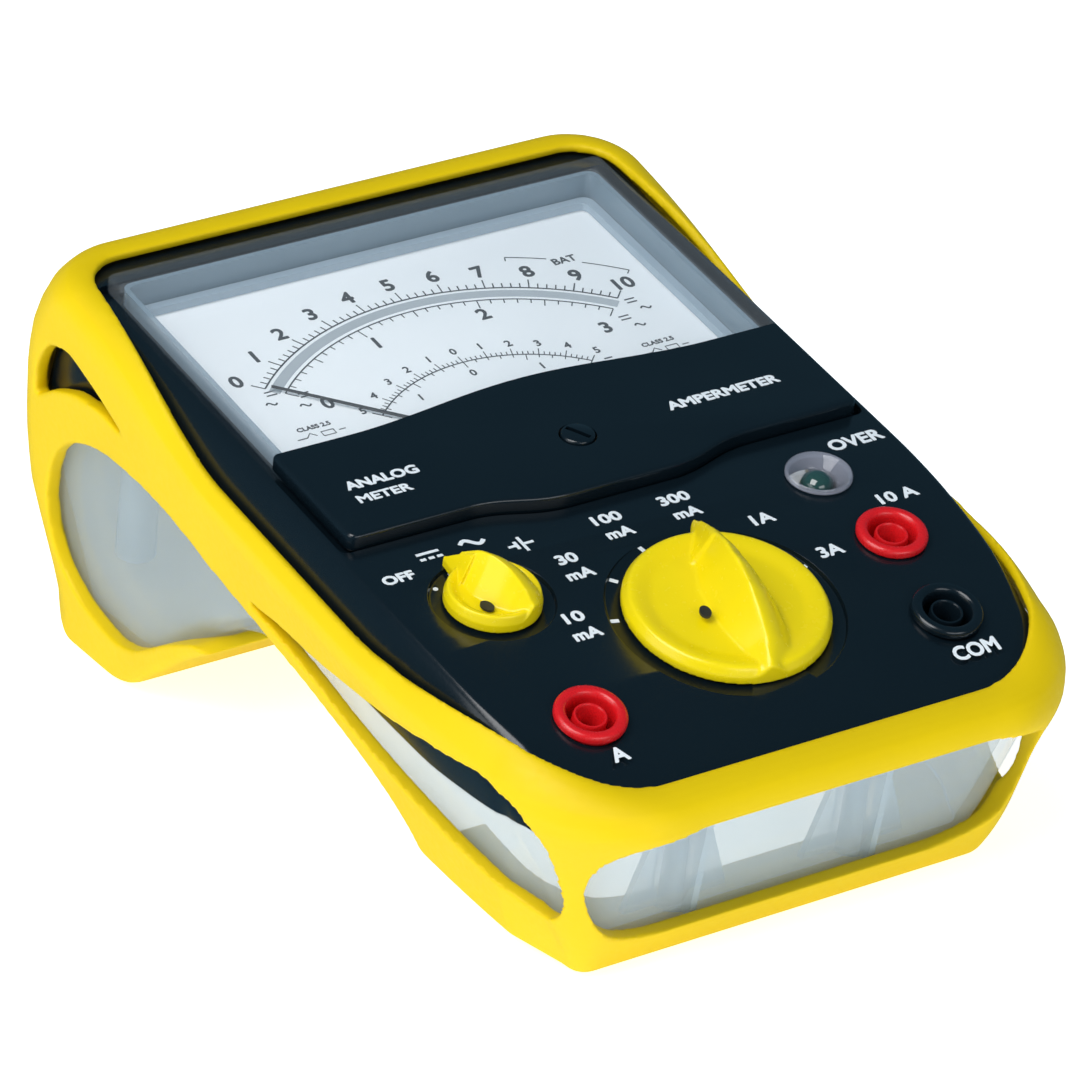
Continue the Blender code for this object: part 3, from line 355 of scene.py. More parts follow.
def extruded(name, outline, low, high, axis="z", place=Matrix.Identity(4)):
    """A straight prism along an axis over an outline, which is given in the other two coordinates."""
    order = {"z": (0, 1, 2), "x": (2, 0, 1), "y": (0, 2, 1)}[axis]
    count = len(outline)
    flat = [(a, b, end) for end in (low, high) for a, b in outline]
    points = [tuple(point[k] for k in order) for point in flat]
    faces = [list(range(count))[::-1], list(range(count, 2 * count))]
    faces += [[i, (i + 1) % count, count + (i + 1) % count, count + i] for i in range(count)]
    return solid(name, points, faces, place)


def disc_outline(radius, steps=64, at=(0, 0)):
    turns = [2 * math.pi * i / steps for i in range(steps)]
    return [(at[0] + radius * math.cos(a), at[1] + radius * math.sin(a)) for a in turns]


def turned(name, profile, place=Matrix.Identity(4), steps=72):
    """A solid of revolution about the place's axis, from (radius, height) points."""
    points = []
    rings = []
    for radius, height in profile:
        if radius == 0:
            rings.append([len(points)] * steps)
            points.append((0, 0, height))
            continue
        rings.append(list(range(len(points), len(points) + steps)))
        points += [(x, y, height) for x, y in disc_outline(radius, steps)]
    pairs = list(zip(rings, rings[1:]))
    if profile[0][0] or profile[-1][0]:
        pairs.append((rings[-1], rings[0]))
    faces = []
    for first, second in pairs:
        for i in range(steps):
            j = (i + 1) % steps
            faces.append(list(dict.fromkeys([first[i], first[j], second[j], second[i]])))
    return solid(name, points, [f for f in faces if len(f) > 2], place)


def corner_curve(first, here, last, steps=8):
    """Points of a curve from first to last that is drawn towards the corner between them."""
    curve = []
    for k in range(steps + 1):
        t = k / steps
        curve.append(tuple(first * (1 - t) ** 2 + here * 2 * t * (1 - t) + last * t * t))
    return curve


def rounded_polygon(corners, radius):
    """A polygon's outline with each corner turned by a curve that starts radius away."""
    outline = []
    for i, corner in enumerate(corners):
        here = Vector(corner)
        before = Vector(corners[i - 1]) - here
        after = Vector(corners[(i + 1) % len(corners)]) - here
        first = here + before.normalized() * min(radius, before.length * 0.48)
        last = here + after.normalized() * min(radius, after.length * 0.48)
        outline += corner_curve(first, here, last)
    return outline


def rectangle(u, v):
    return [(u[0], v[0]), (u[1], v[0]), (u[1], v[1]), (u[0], v[1])]


def combine(target, other, operation="DIFFERENCE"):
    step = target.modifiers.new(other.name, "BOOLEAN")
    step.operation = operation
    step.object = other
    step.solver = "EXACT"
    other.hide_render = True
    return target


def beveled(target, width, segments=3, angle=40):
    step = target.modifiers.new("Bevel", "BEVEL")
    step.width = width * MM
    step.segments = segments
    step.limit_method = "ANGLE"
    step.angle_limit = math.radians(angle)
    return target


def remeshed(target, size, smoothing, keep=1.0):
    """Fuses a body into an even skin and softens every edge, like a moulding."""
    step = target.modifiers.new("Remesh", "REMESH")
    step.mode = "VOXEL"
    step.voxel_size = size * MM
    step = target.modifiers.new("Smooth", "SMOOTH")
    step.factor = 0.5
    step.iterations = smoothing
    if keep < 1.0:
        step = target.modifiers.new("Decimate", "DECIMATE")
        step.ratio = keep
    return target


def settle(target, slot, body, nodes=(), sharp=35, look=None):
    """Applies the modifiers, drops the cutters and hands the piece over to its body, in its slot's look."""
    used = [step.object for step in target.modifiers if step.type == "BOOLEAN"]
    graph = bpy.context.evaluated_depsgraph_get()
    mesh = bpy.data.meshes.new_from_object(target.evaluated_get(graph))
    target.modifiers.clear()
    target.data = mesh
    for other in used:
        bpy.data.objects.remove(other)
    mesh.materials.clear()
    mesh.materials.append(look or LOOKS[slot])
    mesh.shade_smooth()
    if sharp < 180:
        mesh.set_sharp_from_angle(angle=math.radians(sharp))
    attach(target, body)
    if nodes:
        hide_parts(*nodes)
    return target


# ---------------------------------------------------------------- case envelope


def half_width(v):
    return HALF_WIDTH - SIDE_TAPER * max(0.0, TAPER_FROM_V - v) ** 2


def corner_point(end, w, nu, nv, outside=False):
    """Plan position (u, v) at depth w of the corner's point whose outward normal is (nu, nv)."""
    if end == "near":
        radius = eased(NEAR_CORNER_R, w, 2.0) - (eased(SHEATH_CORNER_LESS, w, 2.0) if outside else 0.0)
        centre = (half_width(NEAR_V + radius) - radius, NEAR_V + radius)
    else:
        radius = eased(FAR_CORNER_R, w, 1.5)
        centre = (HALF_WIDTH - radius, FAR_V + eased(FAR_BULGE, w, 1.5) - radius)
    return centre[0] + radius * nu, centre[1] + radius * nv


def outline_points():
    """Right-hand half of the plan outline, near end to far end: (u, v, normal u, normal v, part)."""
    points = []
    for i in range(CORNER_STEPS + 1):
        a = math.radians(-90 + 90 * i / CORNER_STEPS)
        normal = (math.cos(a), math.sin(a))
        points.append((*corner_point("near", 0.0, *normal), *normal, "near"))
    near = points[-1][1]
    far = corner_point("far", 0.0, 1.0, 0.0)[1]
    for i in range(1, SIDE_STEPS):
        v = near + (far - near) * i / SIDE_STEPS
        points.append((half_width(v), v, 1.0, 0.0, "side"))
    for i in range(CORNER_STEPS + 1):
        a = math.radians(90 * i / CORNER_STEPS)
        points.append((*corner_point("far", 0.0, math.cos(a), math.sin(a)), math.cos(a), math.sin(a), "far"))
    return points


OUTLINE = outline_points()


def steepness(v, nu):
    """0 where the sheath laps over the panel's edge at the two ends, 1 along the middle of the sides."""
    return max(0.0, nu) * ramp(v, *LAP_NEAR_V) * (1.0 - ramp(v, *LAP_FAR_V))


def shoulder(v, nu, angle, offset):
    """Inset and W on the shoulder ellipse, angle 0 on the panel and 90 degrees on the wall."""
    k = steepness(v, nu)
    across = SHOULDER_IN_SIDE + (SHOULDER_IN_END - SHOULDER_IN_SIDE) * (1.0 - ramp(v, *SHOULDER_NARROWS_V))
    beside = max(k, ramp(nu, *SHOULDER_CORNER_TURN) * (1.0 - ramp(v, *SHOULDER_CORNER_V)))
    drop = SHOULDER_DROP_END + (SHOULDER_DROP_SIDE - SHOULDER_DROP_END) * beside
    inset = across * (1.0 - math.sin(angle)) - offset * math.sin(angle)
    return inset, panel_w(v) - drop * (1.0 - math.cos(angle)) + offset * math.cos(angle)


def placed(point, inset, w):
    """A point of the envelope: moved in by inset, and by the walls' draft at that height."""
    u, v, nu, nv, part = point
    if part != "side":
        u, v = corner_point(part, w, nu, nv, inset < -OUTSIDE_INSET)
    depth = max(0.0, DRAFT_FROM_W - w)
    side = DRAFT_SIDE_NEAR + (DRAFT_SIDE_FAR - DRAFT_SIDE_NEAR) * ramp(v, *DRAFT_CHANGE_V)
    end = DRAFT_NEAR if part == "near" else 0.0
    return (u - side * depth - nu * inset, v + end * depth - nv * inset, w)


def shoulder_stack(first, last, offset_of, steps):
    """Loops over the shoulder; first and last give the angle, in quarters, for a steepness."""
    loops = []
    for i in range(steps + 1):
        t = i / steps
        loop = []
        for point in OUTLINE:
            k = steepness(point[1], point[2])
            angle = QUARTER * (first(k) * (1 - t) + last(k) * t)
            inset, w = shoulder(point[1], point[2], angle, offset_of(t))
            loop.append(placed(point, inset, w))
        loops.append(loop)
    return loops


def wall_stack(high_of, low_of, offset, steps):
    """Loops down a wall, without its first one."""
    loops = []
    for k in range(1, steps + 1):
        t = k / steps
        loops.append([placed(p, -offset, high_of(p) * (1 - t) + low_of(p) * t) for p in OUTLINE])
    return loops


def bottom_bend(point, offset):
    return SHEATH_EDGE_R if offset > SHEATH_GAP else eased(BOTTOM_FILLET, point[1], 3.0) + offset


def bottom_stack(offset, steps=6):
    loops = []
    for i in range(steps + 1):
        angle = QUARTER * i / steps
        loop = []
        for point in OUTLINE:
            bend = bottom_bend(point, offset)
            inset = bend * (1.0 - math.cos(angle)) - offset
            v = corner_point("far", FOOT_W, point[2], point[3])[1] if point[4] == "far" else point[1]
            base = eased(BOTTOM_PROFILE, v - max(0.0, point[3]) * inset, 2.0)
            loop.append(placed(point, inset, base + bend * (1.0 - math.sin(angle)) - offset))
        loops.append(loop)
    return loops


def split_w(point):
    return eased(SPLIT_PROFILE, point[1], 3.0)


def wall_foot(offset):
    return lambda point: eased(BOTTOM_PROFILE, point[1], 2.0) - offset + bottom_bend(point, offset)


def shoulder_foot(point):
    return shoulder(point[1], point[2], QUARTER, 0)[1]


def shell(name, outer, inner):
    """A closed wall between two stacks of half loops, each running from the opening to its closed end."""
    half = len(OUTLINE)
    count = 2 * half
    points = []
    faces = []
    for stack in (outer, inner):
        start = len(points)
        for loop in stack:
            points += loop + [(-u, v, w) for u, v, w in reversed(loop)]
        for k in range(len(stack) - 1):
            low = start + k * count
            high = low + count
            for i in range(count):
                faces.append([low + i, low + (i + 1) % count, high + (i + 1) % count, high + i])
        end = start + (len(stack) - 1) * count
        faces += [[end + i, end + i + 1, end + count - 2 - i, end + count - 1 - i] for i in range(half - 1)]
    second = len(outer) * count
    faces += [[i, (i + 1) % count, second + (i + 1) % count, second + i] for i in range(count)]
    return solid(name, points, faces)


# ---------------------------------------------------------------- sheath and case


def sheath_stack(offset_of, offset):
    loops = shoulder_stack(lambda k: RIM_START * k, lambda k: 1.0, offset_of, 8)
    loops += wall_stack(shoulder_foot, wall_foot(offset), offset, 14)[:-1]
    return loops + bottom_stack(offset)


def build_sheath():
    outer = sheath_stack(
        lambda t: SHEATH_GAP + RIM_T + (SHEATH_T - RIM_T) * min(1.0, 2.0 * t), SHEATH_GAP + SHEATH_T
    )
    inner = sheath_stack(lambda t: SHEATH_GAP, SHEATH_GAP)
    sheath = shell("sheath", outer, inner)
    for name, outline, radius, low, high, axis in SHEATH_CUTS:
        combine(sheath, extruded(name, rounded_polygon(outline, radius), low, high, axis))
    remeshed(sheath, *SHEATH_SKIN)
    settle(sheath, "yellow_elastomer", "instrument", ["protective_sheath"], 180)


def cover_outline(grow, side=0.0):
    """Plan of the meter window, with the low bulge in the middle of its near edge."""
    half = COVER_HALF + grow + side
    near = COVER_NEAR - grow
    far = COVER_FAR + grow
    out = BULGE_HALF + grow
    low = near - BULGE_OUT
    return [
        (-half, near), (-out - 3, near), (-out + 7, low), (out - 7, low), (out + 3, near), (half, near),
        (half, far), (-half, far),
    ]


def cover_plan(grow, side=0.0):
    """The window's plan with its corners turned, more gently at the bulge."""
    corners = cover_outline(grow, side)
    plan = []
    for i, corner in enumerate(corners):
        radius = 3.5 if 0 < i < 5 else 1.8
        here = Vector(corner)
        before = (Vector(corners[i - 1]) - here).normalized() * radius
        after = (Vector(corners[(i + 1) % len(corners)]) - here).normalized() * radius
        plan += corner_curve(here + before, here, here + after)
    return plan


def build_upper_case():
    outer = [[placed(p, 0.0, split_w(p) + GAP / 2) for p in OUTLINE]]
    outer += shoulder_stack(lambda k: 1.0, lambda k: 0.0, lambda t: 0.0, 18)
    inner = [[placed(p, WALL, split_w(p) + GAP / 2) for p in OUTLINE]]
    inner += shoulder_stack(lambda k: 1.0, lambda k: 0.0, lambda t: -WALL, 8)
    case = shell("case_upper", outer, inner)
    combine(case, extruded("seat_cut", cover_plan(GAP, COVER_SLOT), SEAT_W, 5.0))
    aperture = rounded_polygon(rectangle((-APERTURE_HALF, APERTURE_HALF), (APERTURE_NEAR, APERTURE_FAR)), 3.0)
    combine(case, extruded("aperture_cut", aperture, -8.0, 5.0))
    for at, radius, hole in ((RANGE_AT, RANGE_RECESS_R, 4.0), (FUNCTION_AT, FUNCTION_RECESS_R, 3.0)):
        profile = [
            (0, -8.0), (hole, -8.0), (hole, -RECESS_DEPTH), (radius - 0.9, -RECESS_DEPTH),
            (radius - 0.6, -RECESS_DEPTH + 0.15), (radius - 0.3, -0.15), (radius, 0.02), (radius + 0.5, 2.0),
            (0, 2.0),
        ]
        combine(case, turned("recess_cut", profile, panel_place(at), 120))
    for at, radius in [(LED_AT, LED_HOLE_R)] + [(at, SOCKET_BODY_R + GAP) for at in SOCKETS.values()]:
        combine(case, turned("hole_cut", [(0, -9), (radius, -9), (radius, 4), (0, 4)], panel_place(at), 48))
    settle(case, "black_gloss", "instrument", ["upper_case"], 32)


def build_lower_case():
    outer = [[placed(p, 0.0, split_w(p) - GAP / 2) for p in OUTLINE]]
    outer += wall_stack(split_w, wall_foot(0.0), 0.0, 12)[:-1] + bottom_stack(0.0)
    inner = [[placed(p, WALL, split_w(p) - GAP / 2) for p in OUTLINE]]
    inner += wall_stack(split_w, wall_foot(-WALL), -WALL, 8)[:-1] + bottom_stack(-WALL)
    case = shell("case_lower", outer, inner)
    settle(case, "clear_polycarbonate", "instrument", ["lower_case"], 32)


def build_posts():
    """The clear posts round the case screws; the two at the near end stand on webs."""
    for i, at in enumerate(CASE_SCREWS):
        near_end = at[1] < 0
        low = interpolate(BOTTOM_PROFILE, at[1]) + (1.0 if near_end else 6.2)
        top = BOSS_END - GAP
        place = Matrix.Translation((*at, 0))
        post = turned(f"case_post_{i}", [(0, low), (POST_R + 0.5, low), (POST_R, top), (0, top)], place, 40)
        well = [(0, low - 2), (WELL_R, low - 2), (WELL_R, top + 1), (0, top + 1)]
        combine(post, turned(f"well_cut_{i}", well, place, 32))
        if near_end:
            foot = low + 0.2
            for k, reach in enumerate((9.5, -9.5)):
                web = [(reach / 4, foot), (reach, foot), (reach / 4, top - 3.0)]
                combine(post, extruded(f"web_{i}_{k}", web, -WEB_HALF_T, WEB_HALF_T, "y", place), "UNION")
            web = [(-0.8, foot), (-5.5, foot), (-7.5, top - 4.0), (-0.8, top - 4.0)]
            combine(post, extruded(f"web_front_{i}", web, -WEB_HALF_T, WEB_HALF_T, "x", place), "UNION")
        settle(post, "clear_polycarbonate", "instrument", (), 32, POST_CLEAR)


# ---------------------------------------------------------------- meter window, mask and zero screw


def mask_plan(grow=0.0):
    """The near part of the window, up to the mask's raised far edge."""
    half = COVER_HALF + 5.0
    plan = [(-half, -10.0), (half, -10.0), (half, MASK_SIDE_V - grow)]
    for i in range(25):
        u = MASK_RISE_HALF * (1 - i / 12)
        rise = 0.5 + 0.5 * math.cos(math.pi * u / MASK_RISE_HALF)
        plan.append((u, MASK_SIDE_V - grow + MASK_RISE * rise))
    return plan + [(-half, MASK_SIDE_V - grow)]


def cover_body(name):
    """The whole window as one hollow moulding with a rounded top edge."""
    body = beveled(extruded(name, cover_plan(0.0), COVER_LOW, COVER_TOP), 0.7, 4, 50)
    hollow = rounded_polygon(cover_outline(-COVER_WALL), 1.0)
    return combine(body, extruded(name + "_hollow", hollow, COVER_LOW - 2, COVER_TOP - COVER_WALL))


def build_window():
    window = combine(cover_body("window_clear"), extruded("mask_cut", mask_plan(), -5.0, 6.0))
    settle(window, "clear_polycarbonate", "instrument", ["meter_window"], 35, GLASS)


def build_mask():
    """The window's black near part, which covers the movement."""
    mask = combine(cover_body("mask"), extruded("mask_keep", mask_plan(0.05), -5.0, 6.0), "INTERSECT")
    combine(mask, extruded("zero_cut", disc_outline(ZERO_R + GAP, 64, (0, ZERO_SCREW_V)), -2.0, 5.0))
    settle(mask, "black_gloss", "instrument", ["window_mask"], 35)


def build_window_walls():
    """The two clear steps that run round the dial under the window, tinted grey-blue as painted shade."""
    low = DIAL_W + 0.15
    walls = (
        ("window_wall", 0.3, 0.9, COVER_TOP - COVER_WALL - 0.1, WALL_CLEAR),
        ("window_ledge", 1.4, 1.6, DIAL_W + 1.6, LEDGE_CLEAR),
    )
    for name, inset, thick, top, look in walls:
        half = APERTURE_HALF - inset
        near, far = APERTURE_NEAR + inset, APERTURE_FAR - inset
        wall = extruded(name, rounded_polygon(rectangle((-half, half), (near, far)), 2.4), low, top)
        hole = rectangle((thick - half, half - thick), (near + thick, far - thick))
        combine(wall, extruded(name + "_hole", rounded_polygon(hole, 1.6), -12, 8))
        settle(wall, "clear_polycarbonate", "instrument", look=look)


def build_dial():
    """The dial plate, with the opening for the movement's hub."""
    half = APERTURE_HALF + 1.0
    plan = rectangle((-half, half), (APERTURE_NEAR - 1.5, APERTURE_FAR + 0.5))
    plate = extruded("dial_face", rounded_polygon(plan, 2.0), DIAL_W - DIAL_T, DIAL_W)
    beveled(plate, 0.15, 2, 50)
    combine(plate, extruded("dial_hub_cut", disc_outline(8.0, 64, (0, PIVOT_V)), -8.0, 0.0))
    settle(plate, "dial_white", "instrument", ["dial_plate"], 40)


def build_zero_screw():
    profile = [
        (0, -0.4), (1.3, -0.4), (1.3, 0.6), (ZERO_R, 0.9), (ZERO_R, COVER_TOP + 0.1),
        (ZERO_R - 0.12, COVER_TOP + 0.34), (ZERO_R - 0.4, COVER_TOP + 0.5), (0, COVER_TOP + 0.55),
    ]
    place = Matrix.Translation((0, ZERO_SCREW_V, 0))
    screw = turned("zero_screw_head", profile, place)
    across = place @ Matrix.Rotation(ZERO_SLOT_TURN, 4, "Z")
    slot = rectangle((-2.2, 2.2), (-0.42, 0.42))
    combine(screw, extruded("slot_cut", slot, COVER_TOP - 0.6, 9, "z", across))
    pin = place @ Matrix.Translation((0, -1.0, 0))
    combine(screw, turned("pin_add", [(0, -1.35), (0.45, -1.35), (0.45, 0.2), (0, 0.2)], pin, 24), "UNION")
    settle(screw, "black_gloss", "zero_screw", ["zero_adjust_screw"], 35)


def build_needle():
    """A fine pointer that widens towards its hub and its counterweight."""
    place = Matrix.Translation((0, PIVOT_V, 0)) @ Matrix.Rotation(NEEDLE_REST, 4, "Z")
    side = [(0.13, 47.0), (0.22, 24.0), (0.7, 0.0), (0.7, -11.0)]
    blade = [(-u, v) for u, v in side] + side[::-1]
    needle = extruded("pointer_blade", blade, *NEEDLE_W, "z", place)
    combine(needle, turned("hub_add", [(0, -5.2), (2.4, -5.2), (2.4, -3.9), (0, -3.9)], place, 48), "UNION")
    combine(needle, extruded("bore_cut", disc_outline(0.75, 24), -30, 5, "z", place))
    settle(needle, "black_matt", "pointer", ["needle"], 35)


# ---------------------------------------------------------------- knobs, sockets and lamp

# Half width and height of the grips along each knob, by the distance towards the point
RANGE_WIDTH = [(-15.6, 2.6), (-12, 4.3), (-7, 5.6), (-2, 6.0), (4, 5.2), (10, 3.3), (15, 1.5), (19.0, 0.2)]
RANGE_CREST = [
    (-16, 2.2), (-13, 3.6), (-9, 5.8), (-4, 8.0), (1, 8.8), (6, 8.2), (11, 6.2), (15, 3.9), (17, 2.6),
    (19.0, 1.2),
]
FUNCTION_WIDTH = [(-7.3, 2.6), (-5, 4.3), (-2, 5.2), (1, 5.0), (4, 3.7), (7, 1.5), (10.8, 0.15)]
FUNCTION_CREST = [(-7.5, 2.0), (-5, 4.2), (-2, 6.1), (1, 6.8), (4, 6.2), (7, 4.0), (9, 2.4), (10.8, 0.9)]
# Index holes beside the grips: place across and along, radius and floor
RANGE_HOLE = (-4.9, -3.3, 0.95, 3.0)
FUNCTION_HOLE = (-4.0, -2.4, 0.95, 2.2)
# Sideways place of the grip's crest along a knob of radius 1, by its distance towards the point
CREST_SHIFT = [(-1.0, 0.10), (-0.7, 0.12), (-0.3, 0.07), (0.2, 0.0), (0.6, -0.02), (1.0, 0.0)]
KNOB_RINGS = 44
KNOB_STEPS = 144
# The grip's point: sections, where it starts on a knob of radius 1 and its ridge's share of its width
NOSE_SECTIONS = 16
NOSE_START = 0.55
NOSE_RIDGE = 0.22


def knob_height(x, y, radius, width, crest):
    """Top of the knob: a dished disc with a rounded rim, and the ridge of its grip along Y."""
    out = math.hypot(x, y) / radius
    base = 1.5 + 0.75 * ramp(out, 0.70, 0.90) - 1.7 * ramp(out, 0.93, 1.02)
    aside = x - radius * interpolate(CREST_SHIFT, y / radius)
    half = eased(width, y, 0.6) * (1.15 if aside > 0 else 0.8)
    across = min(1.0, abs(aside) / half)
    flank = 1 - across * across if aside > 0 else (1 - across) ** 1.35
    ridge = eased(crest, y, 0.8) * (0.75 * flank + 0.25 * (1 - across))
    return max(base, min(ridge + 0.9, base + ridge)) if across < 1 else base


def knob_disc(name, place, radius, width, crest, low):
    """The knob's body with the grip raised on it, as one height over a disc."""
    points = [(0, 0, low), (0, 0, knob_height(0, 0, radius, width, crest))]
    for k in range(1, KNOB_RINGS + 1):
        for x, y in disc_outline(radius * k / KNOB_RINGS, KNOB_STEPS):
            points.append((x, y, knob_height(x, y, radius, width, crest)))
    bottom = len(points)
    points += [(x, y, low) for x, y in disc_outline(radius, KNOB_STEPS)]
    faces = []
    for i in range(KNOB_STEPS):
        j = (i + 1) % KNOB_STEPS
        faces.append([1, 2 + i, 2 + j])
        faces.append([0, bottom + j, bottom + i])
        for k in range(KNOB_RINGS - 1):
            first = 2 + k * KNOB_STEPS
            faces.append([first + i, first + KNOB_STEPS + i, first + KNOB_STEPS + j, first + j])
        last = 2 + (KNOB_RINGS - 1) * KNOB_STEPS
        faces.append([last + i, bottom + i, bottom + j, last + j])
    return solid(name, points, faces, place)


def knob_nose(name, place, radius, width, crest, low):
    """The grip's point, which reaches past the disc."""
    tip = width[-1][0]
    start = radius * NOSE_START
    points = []
    for k in range(NOSE_SECTIONS + 1):
        y = start + (tip - start) * k / NOSE_SECTIONS
        half = interpolate(width, y)
        ridge = NOSE_RIDGE * half
        top = eased(crest, y, 0.8) * 0.98 + 0.5
        points += [(-half, y, low + 0.3), (half, y, low + 0.3), (half, y, 1.1)]
        points += [(ridge, y, top), (-ridge, y, top), (-half, y, 1.1)]
    faces = []
    for first in range(0, 6 * NOSE_SECTIONS, 6):
        after = first + 6
        faces += [[first + i, first + (i + 1) % 6, after + (i + 1) % 6, after + i] for i in range(6)]
    faces += [[0, 1, 2, 3, 4, 5], [6 * NOSE_SECTIONS + i for i in range(6)]]
    return solid(name, points, faces, place)


def build_knob(name, at, radius, rest, width, crest, hole, body, node):
    place = panel_place(at, rest)
    low = -RECESS_DEPTH + GAP
    knob = knob_disc(name, place, radius, width, crest, low)
    combine(knob, knob_nose(name + "_nose", place, radius, width, crest, low), "UNION")
    remeshed(knob, radius * 0.017, 5)
    u, v, across, floor = hole
    bore = place @ Matrix.Translation((u, v, 0)) @ Matrix.Scale(1.4, 4, (0, 1, 0))
    under = floor - 0.4
    well = [(0, under), (across, under), (across, 12), (0, 12)]
    combine(knob, turned(name + "_bore", well, bore, 32))
    settle(knob, "yellow_plastic", body, [node], 50)
    # A black plug at the bottom of the hole is painted shade, darkening the hole's depth.
    shade_plug = [(0, under), (across - 0.02, under), (across - 0.02, floor), (0, floor)]
    settle(turned(name + "_painted_hole_shade", shade_plug, bore, 32), "black_matt", body, (), 50)


def build_sockets():
    """Shrouded sockets: a flanged outer sleeve, a ring gap and the inner tube with its bore."""
    profile = [
        (SOCKET_BODY_R, -21.0), (SOCKET_BODY_R, GAP), (5.75, GAP), (5.78, 0.9), (5.6, 1.3), (5.2, 1.55),
        (4.6, 1.6), (4.2, 1.45), (3.9, 1.1), (3.8, 0.4), (3.8, -16.0), (3.1, -16.0), (3.1, -2.4), (2.7, -2.0),
        (2.7, 0.35), (2.55, 0.6), (2.3, 0.62), (2.1, 0.4), (2.1, -6.0), (2.7, -6.3), (2.7, -21.0),
    ]
    for name, at in SOCKETS.items():
        slot = "black_matt" if name == "common_socket" else "red_plastic"
        socket = turned(name + "_rim", profile, panel_place(at), 80)
        look = LOOKS["black_gloss"] if slot == "black_matt" else None
        settle(socket, slot, "instrument", [name], 50, look)


def build_lamp():
    place = panel_place(LED_AT)
    lens = [
        (3.0, -0.9), (3.15, -0.7), (3.5, -0.3), (4.2, 0.4), (4.8, 0.9), (5.2, 1.1), (5.45, 0.85), (5.45, GAP),
        (4.7, GAP), (4.7, -2.8), (3.0, -2.8),
    ]
    bezel = turned("lamp_bezel", lens, place, 80)
    settle(bezel, "clear_polycarbonate", "instrument", ["lamp_lens"], 60, LENS_CLEAR)
    profile = [
        (0, 0.6), (0.9, 0.5), (1.7, 0.1), (2.4, -0.6), (2.75, -1.5), (2.8, -3.0), (2.0, -3.2), (2.0, -6.6),
        (0, -6.6),
    ]
    dome = turned("lamp_dome", profile, place, 64)
    settle(dome, "lamp_clear", "instrument", ["overload_lamp"], 60)


# ---------------------------------------------------------------- printing

PRINT_T = 0.04
BOLD = 0.27
FINE = 0.1
BOLD_COPIES = 8
COPY_STEP = 0.004
# Ranges printed over mA on the panel: text, centre (U, V) and width
MILLIAMP_RANGES = (
    ("10", -23.4, -29.5, 3.5), ("30", -17.0, -16.8, 3.7), ("100", -5.7, -10.2, 5.2), ("300", 6.9, -9.9, 5.6),
)
# Other words on the panel, and those on the mask: text, centre (U, V), height, width, boldness
PANEL_WORDS = (
    ("1A", (17.1, -17.9), 2.6, 4.0, BOLD),
    ("3A", (22.9, -28.7), 2.6, 4.4, BOLD),
    ("OVER", (42.5, -5.9), 2.9, 10.0, BOLD),
    ("10 A", (40.6, -21.0), 2.6, 7.2, BOLD),
    ("COM", (32.9, -55.4), 2.9, 8.2, BOLD),
    ("A", (-32.0, -55.4), 2.8, 2.9, BOLD),
)
MASK_WORDS = (
    ("AMPERMETER", (27.8, 11.0), 2.3, 21.0, BOLD),
    ("ANALOG", (-34.6, 12.4), 2.3, 13.0, BOLD),
    ("METER", (-36.2, 8.6), 2.0, 9.6, 0.2),
)


